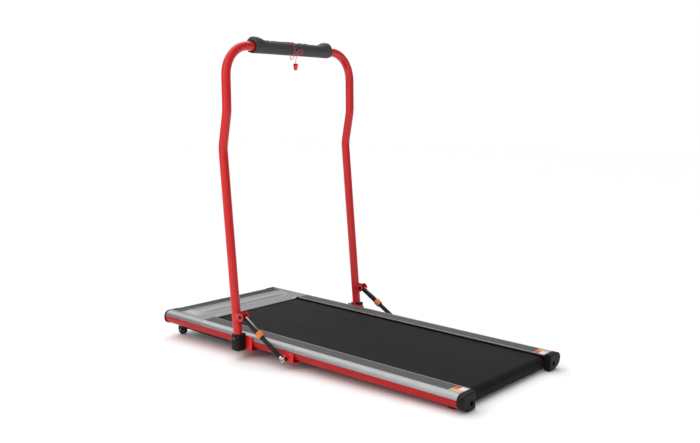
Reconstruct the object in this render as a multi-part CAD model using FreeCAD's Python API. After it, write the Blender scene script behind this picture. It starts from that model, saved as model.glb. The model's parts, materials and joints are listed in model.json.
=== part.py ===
import FreeCAD, Part
import math
import os

# Flat walking-pad treadmill with a folding handrail.
#
# Every sub-part is drawn in the deck frame: X to the user's right, Y in the walking direction, Z up
# and square to the deck, with Z = 0 at the underside of the front wheels and Y = 0 at mid deck.
# The deck stands on wheels in front and on low pads behind, so place_in_row() turns the finished
# parts about the front axle by INCLINE and centres them along Y.

V = FreeCAD.Vector

# ---- overall sizes (mm) ----
DECK_LENGTH = 1195.0
DECK_TOP = 88.0          # top of the side rails
DECK_BOTTOM = 44.5       # underside of the side rails
BELT_WIDTH = 400.0
BELT_TOP = 80.0
RAIL_WIDTH = 66.0        # from the rail's inner lip to its outermost bulge
HANDRAIL_RISE = 888.5    # from the hinge to the axis of the top bar
INCLINE = 1.84           # degrees, front end up

# ---- side rails ----
BELT_SIDE_GAP = 2.0
RAIL_LIP_X = BELT_WIDTH / 2 + BELT_SIDE_GAP
RAIL_BULGE = RAIL_LIP_X + RAIL_WIDTH
RAIL_TOP_RADIUS = 18.0
RAIL_SHOULDER = RAIL_BULGE - RAIL_TOP_RADIUS
RAIL_WALL = 2.0
RAIL_LIP_WALL = 2.0
BULGE_Z = DECK_TOP - RAIL_TOP_RADIUS
SKIRT_TOP = BULGE_Z + 2.6
SKIRT_GAP = 0.4
SKIRT_RADIUS = BULGE_Z - DECK_BOTTOM
STRIP_THICKNESS = 1.8
STRIP_GAP = 0.2
STRIP_OUTER_X = RAIL_SHOULDER - 2.4

# ---- ends of the deck ----
REAR_CAP_LENGTH = 19.5
REAR_CAP_OVERLAP = 0.6   # how far the cap stands proud of the rail
CAP_FOOT_Z = DECK_BOTTOM - 4.0
CAP_INNER_X = RAIL_LIP_X + 3.0
CAP_ROUND = 3.0
FRONT_CAP_LENGTH = 3.0
COVER_LENGTH = 180.0
COVER_WALL = 2.5
COVER_LIP = 9.5          # how far the belt is cleared in front of the side seam
SEAM = 0.4

DECK_REAR = -DECK_LENGTH / 2
DECK_FRONT = DECK_LENGTH / 2
RAIL_REAR = DECK_REAR + REAR_CAP_LENGTH
COVER_REAR = DECK_FRONT - FRONT_CAP_LENGTH - COVER_LENGTH
COVER_FRONT = DECK_FRONT - FRONT_CAP_LENGTH
RAIL_FRONT = COVER_REAR - SEAM

# ---- ridge and trim panel of the cover ----
RIDGE_FRONT = COVER_FRONT - 48.5
RIDGE_DEPTH = 69.0
RIDGE_REAR = RIDGE_FRONT - RIDGE_DEPTH
RIDGE_HEIGHT = 7.5
RIDGE_HALF_LENGTH = RAIL_SHOULDER - 20.0
RIDGE_END = 14.0
PANEL_REAR = RIDGE_FRONT + 3.0
PANEL_FRONT = COVER_FRONT - 5.5
PANEL_HALF_LENGTH = RAIL_SHOULDER - 12.0
PANEL_RECESS = 1.6
PANEL_THICKNESS = 1.9
PANEL_CORNER = 4.0

# ---- running belt, board and rollers ----
BELT_THICKNESS = 1.6
ROLLER_RADIUS = 18.5
BELT_CLEARANCE = 0.3
ROLLER_WALL = 3.0
ROLLER_HALF = BELT_WIDTH / 2 + 3.5
REAR_ROLLER_Y = RAIL_REAR + 20.0
FRONT_ROLLER_Y = COVER_REAR + 37.5
AXLE_RADIUS = 6.0
BEARING_WIDTH = 9.0
BEARING_INSET = 2.0
RUNNING_CLEARANCE = 0.05
TENSION_TRAVEL = 8.0
TENSION_HEAD_RADIUS = 6.5
TENSION_HEAD = 7.0
TENSION_BOLT_RADIUS = 4.0
TENSION_LENGTH = 56.0
BOARD_THICKNESS = 12.0
BOARD_HALF = BELT_WIDTH / 2 + 6.0
BOARD_END_GAP = 8.0
CUSHION_RADIUS = 12.0
CUSHION_X = BOARD_HALF - 18.0
ROLLER_Z = BELT_TOP - BELT_THICKNESS - BELT_CLEARANCE - ROLLER_RADIUS
BOARD_TOP = BELT_TOP - BELT_THICKNESS - 0.1

# ---- drive ----
PULLEY_WIDTH = 8.0
PULLEY_X = ROLLER_HALF + 0.4 + PULLEY_WIDTH / 2
PULLEY_SIDE_GAP = 3.6
DRIVE_BELT_THICKNESS = 2.0
PULLEY_HEADROOM = DRIVE_BELT_THICKNESS + BELT_CLEARANCE + 0.6
DRIVE_PULLEY_RADIUS = DECK_TOP - COVER_WALL - ROLLER_Z - PULLEY_HEADROOM
MOTOR_PULLEY_RADIUS = 12.0
BOARD_PULLEY_GAP = 1.5
MOTOR_Y = FRONT_ROLLER_Y + 71.0
MOTOR_Z = 57.0
MOTOR_RADIUS = 26.5
MOTOR_LENGTH = 128.0
MOTOR_INNER_X = -(PULLEY_X - 19.9)     # face of the motor next to its pulley
MOTOR_SHAFT_RADIUS = 5.0

# ---- frame ----
BEAM_WIDTH = 20.0
BEAM_INNER_X = PULLEY_X + PULLEY_WIDTH / 2 + PULLEY_SIDE_GAP
BEAM_X = BEAM_INNER_X + BEAM_WIDTH / 2     # centre of each long beam
BEAM_BOTTOM = DECK_BOTTOM + 2.5
BEAM_TOP = DECK_TOP - 5.0
BEAM_WALL = 1.8
BEAM_END_PLATE = 2.0
SKIRT_INNER_X = BEAM_INNER_X - 2.0
AXLE_HALF = BEAM_X + BEAM_WIDTH / 2 + 1.0
CROSS_COUNT = 4
CROSS_REAR_Y = REAR_ROLLER_Y + 68.0
CROSS_FRONT_Y = FRONT_ROLLER_Y - 82.0
CROSS_BOTTOM = BEAM_BOTTOM
CROSS_HEIGHT = 13.5
CROSS_WIDTH = 30.0
CROSS_WALL = 1.8
NOSE_CROSS_Y = COVER_FRONT - 31.5
NOSE_CROSS_WIDTH = 24.0

# ---- tray under the motor bay ----
PAN_HALF = BEAM_INNER_X - 0.7
PAN_REAR = COVER_REAR - 79.5
PAN_FRONT = COVER_FRONT - 38.5
PAN_BOTTOM = 26.0
PAN_WALL = 2.0
PAN_TOP = DECK_BOTTOM - 0.3
PAN_SCREW_X = (-160.0, 0.0, 160.0)

# ---- mains inlet and switch in the front wall ----
INLET_X = 150.0
INLET_Z = 65.0
INLET_WIDTH = 28.0
INLET_HEIGHT = 21.0
INLET_DEPTH = 19.0
SWITCH_X = 185.0
SWITCH_WIDTH = 14.0
SWITCH_HEIGHT = 20.0
SWITCH_DEPTH = 14.0
SWITCH_WALL = 1.0
SWITCH_PIVOT_Y = COVER_FRONT - 6.0
SWITCH_PIVOT_RADIUS = 1.5
FLANGE = 1.5
FLANGE_OVERHANG = 2.0

# ---- wheels and pads ----
WHEEL_RADIUS = 17.5
WHEEL_WIDTH = 13.0
WHEEL_X = BEAM_X - 19.0
WHEEL_Y = DECK_FRONT - 22.5
WHEEL_AXLE_RADIUS = 3.0
WHEEL_EAR = 2.0
WHEEL_SIDE_GAP = 0.8
FOOT_RADIUS = 15.0
FOOT_Y = DECK_REAR + 52.5

# ---- brackets on the deck ----
HINGE_Y = 206.0
HINGE_Z = DECK_TOP - 8.0
EYE_Y = 15.5
EYE_Z = DECK_BOTTOM + 5.5
BRACKET_WALL = 3.0
BRACKET_X = RAIL_BULGE + 1.5           # inner face of the upright plates
BRACKET_BASE_Z = DECK_BOTTOM - BRACKET_WALL - 1.0
BRACKET_BASE_X = BEAM_X - 9.5
HINGE_PLATE = (HINGE_Y - 43.0, HINGE_Y + 28.0, HINGE_Z + 8.0)     # Y from, Y to, top
STRUT_PLATE = (EYE_Y - 28.5, EYE_Y + 11.5, EYE_Z + 22.0)
BRACKET_BOLT_RADIUS = 3.0
BRACKET_BOLT_INSET = 10.0

# ---- handrail ----
TUBE_RADIUS = 14.0
TUBE_WALL = 1.5
LEG_GAP = 0.5
LEG_X = BRACKET_X + BRACKET_WALL + LEG_GAP + TUBE_RADIUS
LEG_BOTTOM = (HINGE_Y - 2.4, HINGE_Z - 36.0)     # Y, Z on the leg's axis at its lower end
LOWER_KINK = (HINGE_Y + 74.5, HINGE_Z + 578.6)
UPPER_KINK = (HINGE_Y + 57.2, HINGE_Z + 689.7)
TOP_BAR = (HINGE_Y + 66.0, HINGE_Z + HANDRAIL_RISE)
KINK_RADIUS = 110.0
CORNER_RADIUS = 92.0
HINGE_STUD_RADIUS = 5.0
SLEEVE_WALL = 3.0
SLEEVE_TOP = HINGE_Z + 10.0
SLEEVE_BOTTOM = LEG_BOTTOM[1] - 4.0
SLEEVE_DEPTH = 2 * TUBE_RADIUS + 7.0

# ---- folding strut ----
EAR_Y = HINGE_Y - 20.0
EAR_Z = HINGE_Z + 69.0
EAR_RADIUS = 14.0
EAR_WALL = 3.0
EAR_OFFSET = 13.0        # middle of each ear plate from the leg's axis
SHROUD_RADIUS = 8.6
SHROUD_BORE = 7.5
SHROUD_START = 9.0
SHROUD_END = 97.0
COLLAR_RADIUS = 11.0
COLLAR_LENGTH = 29.0
COLLAR_CENTRE = 84.0
CYLINDER_RADIUS = 7.0
CYLINDER_START = 91.0
CYLINDER_EYE_GAP = 13.2  # from the cylinder's end to the middle of its eye
ROD_RADIUS = 3.0
ROD_END = 99.0
EYE_RADIUS = 7.5
EYE_WIDTH = 9.0
PIVOT_BOLT_RADIUS = 3.5

# ---- console on the top bar ----
CONSOLE_HALF = 177.0
GRIP_RADIUS = TUBE_RADIUS + 6.0
LOBE_SHIFT = 5.3         # the lobes bulge forward and up from the grip
LOBE_RADIUS = GRIP_RADIUS + LOBE_SHIFT
LOBE_LENGTH = 55.0
LOBE_START = CONSOLE_HALF - LOBE_LENGTH
LOBE_INNER_ROUND = 18.0
LOBE_OUTER_ROUND = 5.0
BAR_HALF = CONSOLE_HALF - 5.0          # the plain bar ends inside the lobes
BLOCK_HALF = CONSOLE_HALF - 27.0
CONSOLE_FRONT = TOP_BAR[0] + TUBE_RADIUS + 17.0
CONSOLE_TOP = TOP_BAR[1] + TUBE_RADIUS + 2.1
CONSOLE_CHIN = TOP_BAR[1] - TUBE_RADIUS - 3.5
CAVITY_TOP = CONSOLE_TOP - 2.2
CAVITY_REAR = TOP_BAR[0] + TUBE_RADIUS + 1.3
CAVITY_BOTTOM = CAVITY_TOP - 24.4
BOARD_Z = CAVITY_TOP - 10.4
PAD_HALF = 104.0
PAD_REAR = TOP_BAR[0] - 6.0
PAD_THICKNESS = 1.6
BUTTON_X = (-92.0, -66.0, 57.0, 83.0)
BUTTON_LENGTH = 15.0
BUTTON_WIDTH = 8.0
BUTTON_Y = TOP_BAR[0] + TUBE_RADIUS + 7.2
BUTTON_HEIGHT = 2.2
BUTTON_TRAVEL = 1.2
BUTTON_GAP = 0.3
KEY_X = 8.0
KEY_LENGTH = 42.0
KEY_WIDTH = 14.0
KEY_HEIGHT = 3.2
KEY_PEG = 9.0

# ---- safety cord ----
CORD_RADIUS = 1.0
CORD_ARC_SHARE = 0.45
CORD_POINTS = (
    (2.0, 284.0, 988.3),
    (-3.0, 272.0, 989.6),
    (-8.0, 260.0, 988.2),
    (-11.0, 251.6, 981.0),
    (-12.0, 248.6, 971.0),
    (-12.0, 247.6, 962.0),
    (-15.0, 247.0, 954.0),
    (-23.0, 246.4, 948.5),
    (-32.0, 245.8, 945.5),
    (-38.0, 245.2, 939.5),
    (-33.0, 244.6, 933.5),
    (-25.0, 244.2, 937.5),
    (-19.0, 243.9, 945.0),
    (-11.0, 243.6, 953.0),
    (-2.0, 243.2, 960.5),
    (8.0, 242.8, 967.0),
    (18.0, 242.2, 968.5),
    (20.5, 241.4, 961.0),
    (12.0, 240.8, 955.5),
    (1.0, 240.6, 952.5),
    (-8.0, 240.9, 947.5),
    (-12.5, 242.0, 939.5),
    (-12.0, 243.2, 931.0),
    (-12.0, 243.6, 922.0),
)
CLIP_HEIGHT = 21.0
CLIP_WIDTH = 13.0

NODES = {}


# ---- drawing helpers ----

def box(x0, x1, y0, y1, z0, z1):
    return Part.makeBox(x1 - x0, y1 - y0, z1 - z0, V(x0, y0, z0))


def rod_x(x0, x1, y, z, radius):
    return Part.makeCylinder(radius, x1 - x0, V(x0, y, z), V(1, 0, 0))


def rod_y(y0, y1, x, z, radius):
    return Part.makeCylinder(radius, y1 - y0, V(x, y0, z), V(0, 1, 0))


def rod_z(z0, z1, x, y, radius):
    return Part.makeCylinder(radius, z1 - z0, V(x, y, z0))


def mirrored(shape):
    return shape.mirror(V(0, 0, 0), V(1, 0, 0))


def pair(shape):
    """The right-hand shape and its mirror image, as separate solids."""
    return Part.makeCompound([shape, mirrored(shape)])


def lines(points):
    return [Part.LineSegment(a, b).toShape() for a, b in zip(points, points[1:])]


def prism(edges, direction):
    return Part.Face(Part.Wire(edges)).extrude(direction)


def polygon_x(points, x0, x1):
    """An outline of (Y, Z) points, extruded along X."""
    loop = [V(x0, y, z) for y, z in points]
    return prism(lines(loop + loop[:1]), V(x1 - x0, 0, 0))


def slot_x(x0, x1, y0, y1, z, radius):
    """A round-ended slot along Y, cut through in X."""
    middle = box(x0, x1, y0, y1, z - radius, z + radius)
    return middle.fuse([rod_x(x0, x1, y0, z, radius), rod_x(x0, x1, y1, z, radius)]).removeSplitter()


def pill(length, width, z0, z1, x, y):
    """A round-ended block standing on Z, long in X."""
    radius = width / 2
    half = length / 2 - radius
    middle = box(x - half, x + half, y - radius, y + radius, z0, z1)
    ends = [rod_z(z0, z1, x - half, y, radius), rod_z(z0, z1, x + half, y, radius)]
    return middle.fuse(ends).removeSplitter()


def edges_along(shape, axis, test):
    found = []
    for edge in shape.Edges:
        line = edge.Vertexes[-1].Point - edge.Vertexes[0].Point
        if line.Length > 1e-6 and abs(abs(line.normalize().dot(axis)) - 1) < 1e-6:
            if test(edge.CenterOfMass):
                found.append(edge)
    return found


def arc_at(centre_x, centre_z, radius, start, end, y):
    """An arc in the XZ plane; angles in degrees from +X towards +Z."""
    def point(angle):
        turn = math.radians(angle)
        return V(centre_x + radius * math.cos(turn), y, centre_z + radius * math.sin(turn))
    return Part.Arc(point(start), point((start + end) / 2), point(end)).toShape()


def angle_at_height(centre_z, radius, z):
    return math.degrees(math.asin((z - centre_z) / radius))


def add(name, shape):
    NODES[name] = shape


def add_sides(name, shape):
    """A right-hand part and its left-hand twin, each in its own node."""
    add(name + "_right", shape)
    add(name + "_left", mirrored(shape))


# ---- side rails ----

def rail_outline(inset, inner_x, bottom, y):
    """Closed outline of the rail's D-shaped section, set in by inset, from inner_x outwards."""
    top_radius = RAIL_TOP_RADIUS - inset
    low_radius = SKIRT_RADIUS - inset
    low_x = RAIL_BULGE - SKIRT_RADIUS
    top_arc = arc_at(RAIL_SHOULDER, BULGE_Z, top_radius, 0, 90, y)
    low_arc = arc_at(low_x, BULGE_Z, low_radius, -90, 0, y)
    corners = [
        V(RAIL_SHOULDER, y, DECK_TOP - inset),
        V(inner_x, y, DECK_TOP - inset),
        V(inner_x, y, bottom),
        V(low_x, y, bottom),
    ]
    return [low_arc, top_arc] + lines(corners)


def side_rail():
    """Silver extrusion: top plate with a pocket for the foot strip and a rounded outer band."""
    y = RAIL_REAR
    plate_top = DECK_TOP - STRIP_THICKNESS
    plate_bottom = plate_top - RAIL_WALL
    outer = RAIL_TOP_RADIUS
    inner = RAIL_TOP_RADIUS - RAIL_WALL
    low_edge = SKIRT_TOP + SKIRT_GAP
    outer_low = angle_at_height(BULGE_Z, outer, low_edge)
    inner_low = angle_at_height(BULGE_Z, inner, low_edge)
    inner_high = angle_at_height(BULGE_Z, inner, plate_bottom)
    lip_outer = RAIL_LIP_X + RAIL_LIP_WALL
    inner_high_x = RAIL_SHOULDER + inner * math.cos(math.radians(inner_high))
    outer_low_x = RAIL_SHOULDER + outer * math.cos(math.radians(outer_low))
    inner_low_x = RAIL_SHOULDER + inner * math.cos(math.radians(inner_low))
    top_path = [
        V(inner_high_x, y, plate_bottom),
        V(RAIL_LIP_X, y, plate_bottom),
        V(RAIL_LIP_X, y, DECK_TOP),
        V(lip_outer, y, DECK_TOP),
        V(lip_outer, y, plate_top),
        V(STRIP_OUTER_X, y, plate_top),
        V(STRIP_OUTER_X, y, DECK_TOP),
        V(RAIL_SHOULDER, y, DECK_TOP),
    ]
    band = arc_at(RAIL_SHOULDER, BULGE_Z, outer, 90, outer_low, y)
    lower_edge = Part.LineSegment(V(outer_low_x, y, low_edge), V(inner_low_x, y, low_edge)).toShape()
    inside = arc_at(RAIL_SHOULDER, BULGE_Z, inner, inner_low, inner_high, y)
    return prism(lines(top_path) + [band, lower_edge, inside], V(0, RAIL_FRONT - RAIL_REAR, 0))


def rail_skirt():
    """Red lower band that turns in under the deck, the full length of the rail and cover."""
    length = COVER_FRONT - RAIL_REAR
    outer = prism(rail_outline(0, SKIRT_INNER_X, DECK_BOTTOM, RAIL_REAR), V(0, length, 0))
    inner_bottom = DECK_BOTTOM + RAIL_WALL
    inner = prism(rail_outline(RAIL_WALL, SKIRT_INNER_X - 5, inner_bottom, RAIL_REAR), V(0, length, 0))
    above = box(SKIRT_INNER_X - 5, RAIL_BULGE + 5, RAIL_REAR, COVER_FRONT, SKIRT_TOP, DECK_TOP + 5)
    skirt = outer.cut(inner).cut(above)
    holes = [rod_z(DECK_BOTTOM - 1, DECK_BOTTOM + 5, BEAM_X, y, BRACKET_BOLT_RADIUS) for y in bolt_places()]
    return skirt.cut(holes)


def foot_strip():
    """Grey tread strip laid in the rail's pocket."""
    inner = RAIL_LIP_X + RAIL_LIP_WALL + STRIP_GAP
    outer = STRIP_OUTER_X - STRIP_GAP
    return box(inner, outer, RAIL_REAR, RAIL_FRONT, DECK_TOP - STRIP_THICKNESS, DECK_TOP)


def rear_cap():
    """Black moulded end cap with an access hole for the belt-tension bolt."""
    proud = -REAR_CAP_OVERLAP
    bottom = DECK_BOTTOM + proud
    outline = rail_outline(proud, CAP_INNER_X, bottom, DECK_REAR)
    body = prism(outline, V(0, REAR_CAP_LENGTH - SEAM / 2, 0))
    foot_edge = RAIL_BULGE - SKIRT_RADIUS
    foot = box(CAP_INNER_X, foot_edge, DECK_REAR, RAIL_REAR - SEAM / 2, CAP_FOOT_Z, DECK_BOTTOM + 5)
    body = body.fuse(foot).removeSplitter()
    rear_edges = [e for e in body.Edges if abs(e.BoundBox.YMax - DECK_REAR) < 0.01]
    body = body.makeFillet(CAP_ROUND, rear_edges)
    hole = rod_y(DECK_REAR - 1, RAIL_REAR, BEAM_X, ROLLER_Z, TENSION_HEAD_RADIUS + 0.8)
    return body.cut(hole)


def front_cap():
    """Thin dark cap that closes the front end of the rail section."""
    proud = -REAR_CAP_OVERLAP
    outline = rail_outline(proud, SKIRT_INNER_X, DECK_BOTTOM + proud, COVER_FRONT + SEAM / 2)
    return prism(outline, V(0, FRONT_CAP_LENGTH - SEAM / 2, 0))


# ---- motor cover ----

def ridge_solid(height, front, rear, half_length, end):
    """The long rounded swelling across the cover, with its ends rounded off."""
    middle = (front + rear) / 2
    base = DECK_TOP - 1
    crest = DECK_TOP + height
    sweep = Part.Arc(V(0, rear, DECK_TOP), V(0, middle, crest), V(0, front, DECK_TOP)).toShape()
    foot = lines([V(0, front, DECK_TOP), V(0, front, base), V(0, rear, base), V(0, rear, DECK_TOP)])
    across = prism([sweep] + foot, V(2 * half_length, 0, 0))
    across.translate(V(-half_length, 0, 0))
    side = [
        V(-half_length + end, 0, crest),
        V(half_length - end, 0, crest),
    ]
    right_end = Part.Arc(
        V(half_length - end, 0, crest),
        V(half_length - end * 0.3, 0, DECK_TOP + height * 0.7),
        V(half_length, 0, base),
    ).toShape()
    left_end = mirrored(right_end)
    bottom = Part.LineSegment(V(half_length, 0, base), V(-half_length, 0, base)).toShape()
    along = prism([lines(side)[0], right_end, bottom, left_end], V(0, front - rear, 0))
    along.translate(V(0, rear, 0))
    return across.common(along)


def cover_band(inset, y0, y1):
    """Solid under the cover's bridge-shaped outline, set in by inset."""
    radius = RAIL_TOP_RADIUS - inset
    low_z = SKIRT_TOP + SKIRT_GAP
    low = angle_at_height(BULGE_Z, radius, low_z)
    low_x = RAIL_SHOULDER + radius * math.cos(math.radians(low))
    right = arc_at(RAIL_SHOULDER, BULGE_Z, radius, low, 90, y0)
    top = Part.LineSegment(
        V(RAIL_SHOULDER, y0, DECK_TOP - inset), V(-RAIL_SHOULDER, y0, DECK_TOP - inset)
    ).toShape()
    bottom = Part.LineSegment(V(-low_x, y0, low_z), V(low_x, y0, low_z)).toShape()
    return prism([right, top, mirrored(right), bottom], V(0, y1 - y0, 0))


def motor_cover():
    outer = cover_band(0, COVER_REAR, COVER_FRONT)
    ridge = ridge_solid(RIDGE_HEIGHT, RIDGE_FRONT, RIDGE_REAR, RIDGE_HALF_LENGTH, RIDGE_END)
    inner = cover_band(COVER_WALL, COVER_REAR - 1, COVER_FRONT - COVER_WALL)
    hollow = ridge_solid(
        RIDGE_HEIGHT - COVER_WALL,
        RIDGE_FRONT - COVER_WALL * 2,
        RIDGE_REAR + COVER_WALL * 2,
        RIDGE_HALF_LENGTH - COVER_WALL * 2,
        RIDGE_END,
    )
    hollow = hollow.fuse(box(-200, 200, RIDGE_REAR + 6, RIDGE_FRONT - 6, DECK_TOP - 3, DECK_TOP - 0.9))
    front_wall = box(
        -SKIRT_INNER_X + SEAM, SKIRT_INNER_X - SEAM, COVER_FRONT - COVER_WALL, COVER_FRONT,
        DECK_BOTTOM + 2, DECK_TOP - 5,
    )
    cover = outer.fuse([ridge, front_wall]).cut([inner, hollow])
    lip = box(-RAIL_LIP_X, RAIL_LIP_X, COVER_REAR - 1, COVER_REAR + COVER_LIP, DECK_TOP - 6, DECK_TOP + 1)
    recess = box(
        -PANEL_HALF_LENGTH, PANEL_HALF_LENGTH, PANEL_REAR, PANEL_FRONT,
        DECK_TOP - PANEL_RECESS, DECK_TOP + 1,
    )
    openings = [lip, recess, inlet_block(0.2), switch_block(0.2)]
    return cover.cut(openings).removeSplitter()


def front_panel():
    """Glossy dark trim strip in the recess in front of the ridge."""
    z0 = DECK_TOP - PANEL_RECESS
    strip = box(
        -PANEL_HALF_LENGTH + STRIP_GAP, PANEL_HALF_LENGTH - STRIP_GAP,
        PANEL_REAR + STRIP_GAP, PANEL_FRONT - STRIP_GAP, z0, z0 + PANEL_THICKNESS,
    )
    corners = edges_along(strip, V(0, 0, 1), lambda c: True)
    return strip.makeFillet(PANEL_CORNER, corners)


# ---- mains inlet and switch in the front wall ----

def wall_block(x, width, height, depth, grow):
    half_w = width / 2 + grow
    half_h = height / 2 + grow
    y1 = COVER_FRONT + FLANGE
    return box(x - half_w, x + half_w, y1 - depth, y1, INLET_Z - half_h, INLET_Z + half_h)


def wall_flange(x, width, height):
    half_w = width / 2 + FLANGE_OVERHANG
    half_h = height / 2 + FLANGE_OVERHANG
    return box(
        x - half_w, x + half_w, COVER_FRONT, COVER_FRONT + FLANGE, INLET_Z - half_h, INLET_Z + half_h
    )


def inlet_block(grow):
    return wall_block(INLET_X, INLET_WIDTH, INLET_HEIGHT, INLET_DEPTH, grow)


def switch_block(grow):
    return wall_block(SWITCH_X, SWITCH_WIDTH, SWITCH_HEIGHT, SWITCH_DEPTH, grow)


def power_inlet():
    """Panel inlet with three blades in its socket, and the frame that holds the switch."""
    body = inlet_block(0).fuse(wall_flange(INLET_X, INLET_WIDTH, INLET_HEIGHT)).removeSplitter()
    y1 = COVER_FRONT + FLANGE
    socket = box(
        INLET_X - INLET_WIDTH / 2 + 2, INLET_X + INLET_WIDTH / 2 - 2, y1 - INLET_DEPTH + 4, y1 + 1,
        INLET_Z - INLET_HEIGHT / 2 + 2, INLET_Z + INLET_HEIGHT / 2 - 2,
    )
    blades = []
    for x, z in ((-7.0, -2.0), (0.0, 3.0), (7.0, -2.0)):
        blades.append(box(
            INLET_X + x - 1, INLET_X + x + 1, y1 - INLET_DEPTH + 4, y1 - 5,
            INLET_Z + z - 2, INLET_Z + z + 2,
        ))
    frame = switch_block(0).fuse(wall_flange(SWITCH_X, SWITCH_WIDTH, SWITCH_HEIGHT)).removeSplitter()
    well = box(
        SWITCH_X - SWITCH_WIDTH / 2 + SWITCH_WALL, SWITCH_X + SWITCH_WIDTH / 2 - SWITCH_WALL,
        y1 - SWITCH_DEPTH + 2, y1 + 1,
        INLET_Z - SWITCH_HEIGHT / 2 + SWITCH_WALL, INLET_Z + SWITCH_HEIGHT / 2 - SWITCH_WALL,
    )
    return Part.makeCompound([body.cut(socket).fuse(blades), frame.cut(well)])


def power_rocker():
    """Rocker that tips between two stops on a round pivot; its face is a shallow V."""
    half = SWITCH_HEIGHT / 2 - 2.9
    nose = COVER_FRONT + FLANGE
    outline = [
        (SWITCH_PIVOT_Y - 3.0, INLET_Z - 3.0),
        (SWITCH_PIVOT_Y - 3.0, INLET_Z + 3.0),
        (nose - 1.5, INLET_Z + half),
        (nose + 0.2, INLET_Z + half - 0.6),
        (nose - 1.8, INLET_Z),
        (nose - 3.6, INLET_Z - half + 0.6),
        (nose - 5.0, INLET_Z - half + 0.4),
    ]
    inset = SWITCH_WIDTH / 2 - 2.0
    paddle = polygon_x(outline, SWITCH_X - inset, SWITCH_X + inset)
    reach = inset + 0.6
    pivot = rod_x(SWITCH_X - reach, SWITCH_X + reach, SWITCH_PIVOT_Y, INLET_Z, SWITCH_PIVOT_RADIUS)
    return paddle.fuse(pivot).removeSplitter()


# ---- frame, board, belt and rollers ----

def rect_tube_y(x0, x1, y0, y1, z0, z1, wall):
    return box(x0, x1, y0, y1, z0, z1).cut(box(x0 + wall, x1 - wall, y0 - 1, y1 + 1, z0 + wall, z1 - wall))


def rect_tube_x(x0, x1, y0, y1, z0, z1, wall):
    return box(x0, x1, y0, y1, z0, z1).cut(box(x0 - 1, x1 + 1, y0 + wall, y1 - wall, z0 + wall, z1 - wall))


def bolt_places():
    """Y of every bracket bolt."""
    places = []
    for y0, y1, top in (HINGE_PLATE, STRUT_PLATE):
        middle = (y0 + y1) / 2
        reach = (y1 - y0) / 2 - BRACKET_BOLT_INSET
        places += [middle - reach, middle + reach]
    return places


def base_beams():
    """Long steel beams inside the side rails, each with an end plate for its tension bolt."""
    x0 = BEAM_X - BEAM_WIDTH / 2
    x1 = BEAM_X + BEAM_WIDTH / 2
    rear = RAIL_REAR + BEAM_END_PLATE
    beam = rect_tube_y(x0, x1, rear, COVER_FRONT - COVER_WALL - 1, BEAM_BOTTOM, BEAM_TOP, BEAM_WALL)
    slot = slot_x(
        x0 - 1, x1 + 1, REAR_ROLLER_Y - TENSION_TRAVEL, REAR_ROLLER_Y + TENSION_TRAVEL,
        ROLLER_Z, AXLE_RADIUS + 0.2,
    )
    axle_hole = rod_x(x0 - 1, x1 + 1, FRONT_ROLLER_Y, ROLLER_Z, AXLE_RADIUS)
    bolts = [rod_z(BEAM_BOTTOM - 1, BEAM_BOTTOM + 5, BEAM_X, y, BRACKET_BOLT_RADIUS) for y in bolt_places()]
    beam = beam.cut([slot, axle_hole] + bolts)
    plate = box(x0, x1, RAIL_REAR, rear, BEAM_BOTTOM, BEAM_TOP)
    plate = plate.cut(rod_y(RAIL_REAR - 1, rear + 1, BEAM_X, ROLLER_Z, TENSION_BOLT_RADIUS + 0.3))
    return Part.makeCompound([beam, plate, mirrored(beam), mirrored(plate)])


def cross_places():
    """Y of the evenly spaced cross members under the board."""
    step = (CROSS_FRONT_Y - CROSS_REAR_Y) / (CROSS_COUNT - 1)
    return [CROSS_REAR_Y + step * i for i in range(CROSS_COUNT)]


def cross_members():
    """Steel tubes across the frame, butted between the beams."""
    half = BEAM_X - BEAM_WIDTH / 2
    members = []
    for y in cross_places():
        members.append(rect_tube_x(
            -half, half, y - CROSS_WIDTH / 2, y + CROSS_WIDTH / 2,
            CROSS_BOTTOM, CROSS_BOTTOM + CROSS_HEIGHT, CROSS_WALL,
        ))
    members.append(rect_tube_x(
        -half, half, NOSE_CROSS_Y - NOSE_CROSS_WIDTH / 2, NOSE_CROSS_Y + NOSE_CROSS_WIDTH / 2,
        CROSS_BOTTOM, CROSS_BOTTOM + CROSS_HEIGHT, CROSS_WALL,
    ))
    return Part.makeCompound(members)


def deck_board():
    """Slide board, short of the rear roller and of the belt pulley in front."""
    rear_reach = ROLLER_RADIUS + BELT_CLEARANCE + BOARD_END_GAP
    front_reach = DRIVE_PULLEY_RADIUS + BELT_CLEARANCE + DRIVE_BELT_THICKNESS + BOARD_PULLEY_GAP
    return box(
        -BOARD_HALF, BOARD_HALF, REAR_ROLLER_Y + rear_reach, FRONT_ROLLER_Y - front_reach,
        BOARD_TOP - BOARD_THICKNESS, BOARD_TOP,
    )


def deck_cushions():
    """Rubber pucks between the cross members and the board."""
    z0 = CROSS_BOTTOM + CROSS_HEIGHT
    z1 = BOARD_TOP - BOARD_THICKNESS
    return Part.makeCompound([rod_z(z0, z1, side * CUSHION_X, y, CUSHION_RADIUS)
                              for y in cross_places() for side in (-1, 1)])


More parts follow.
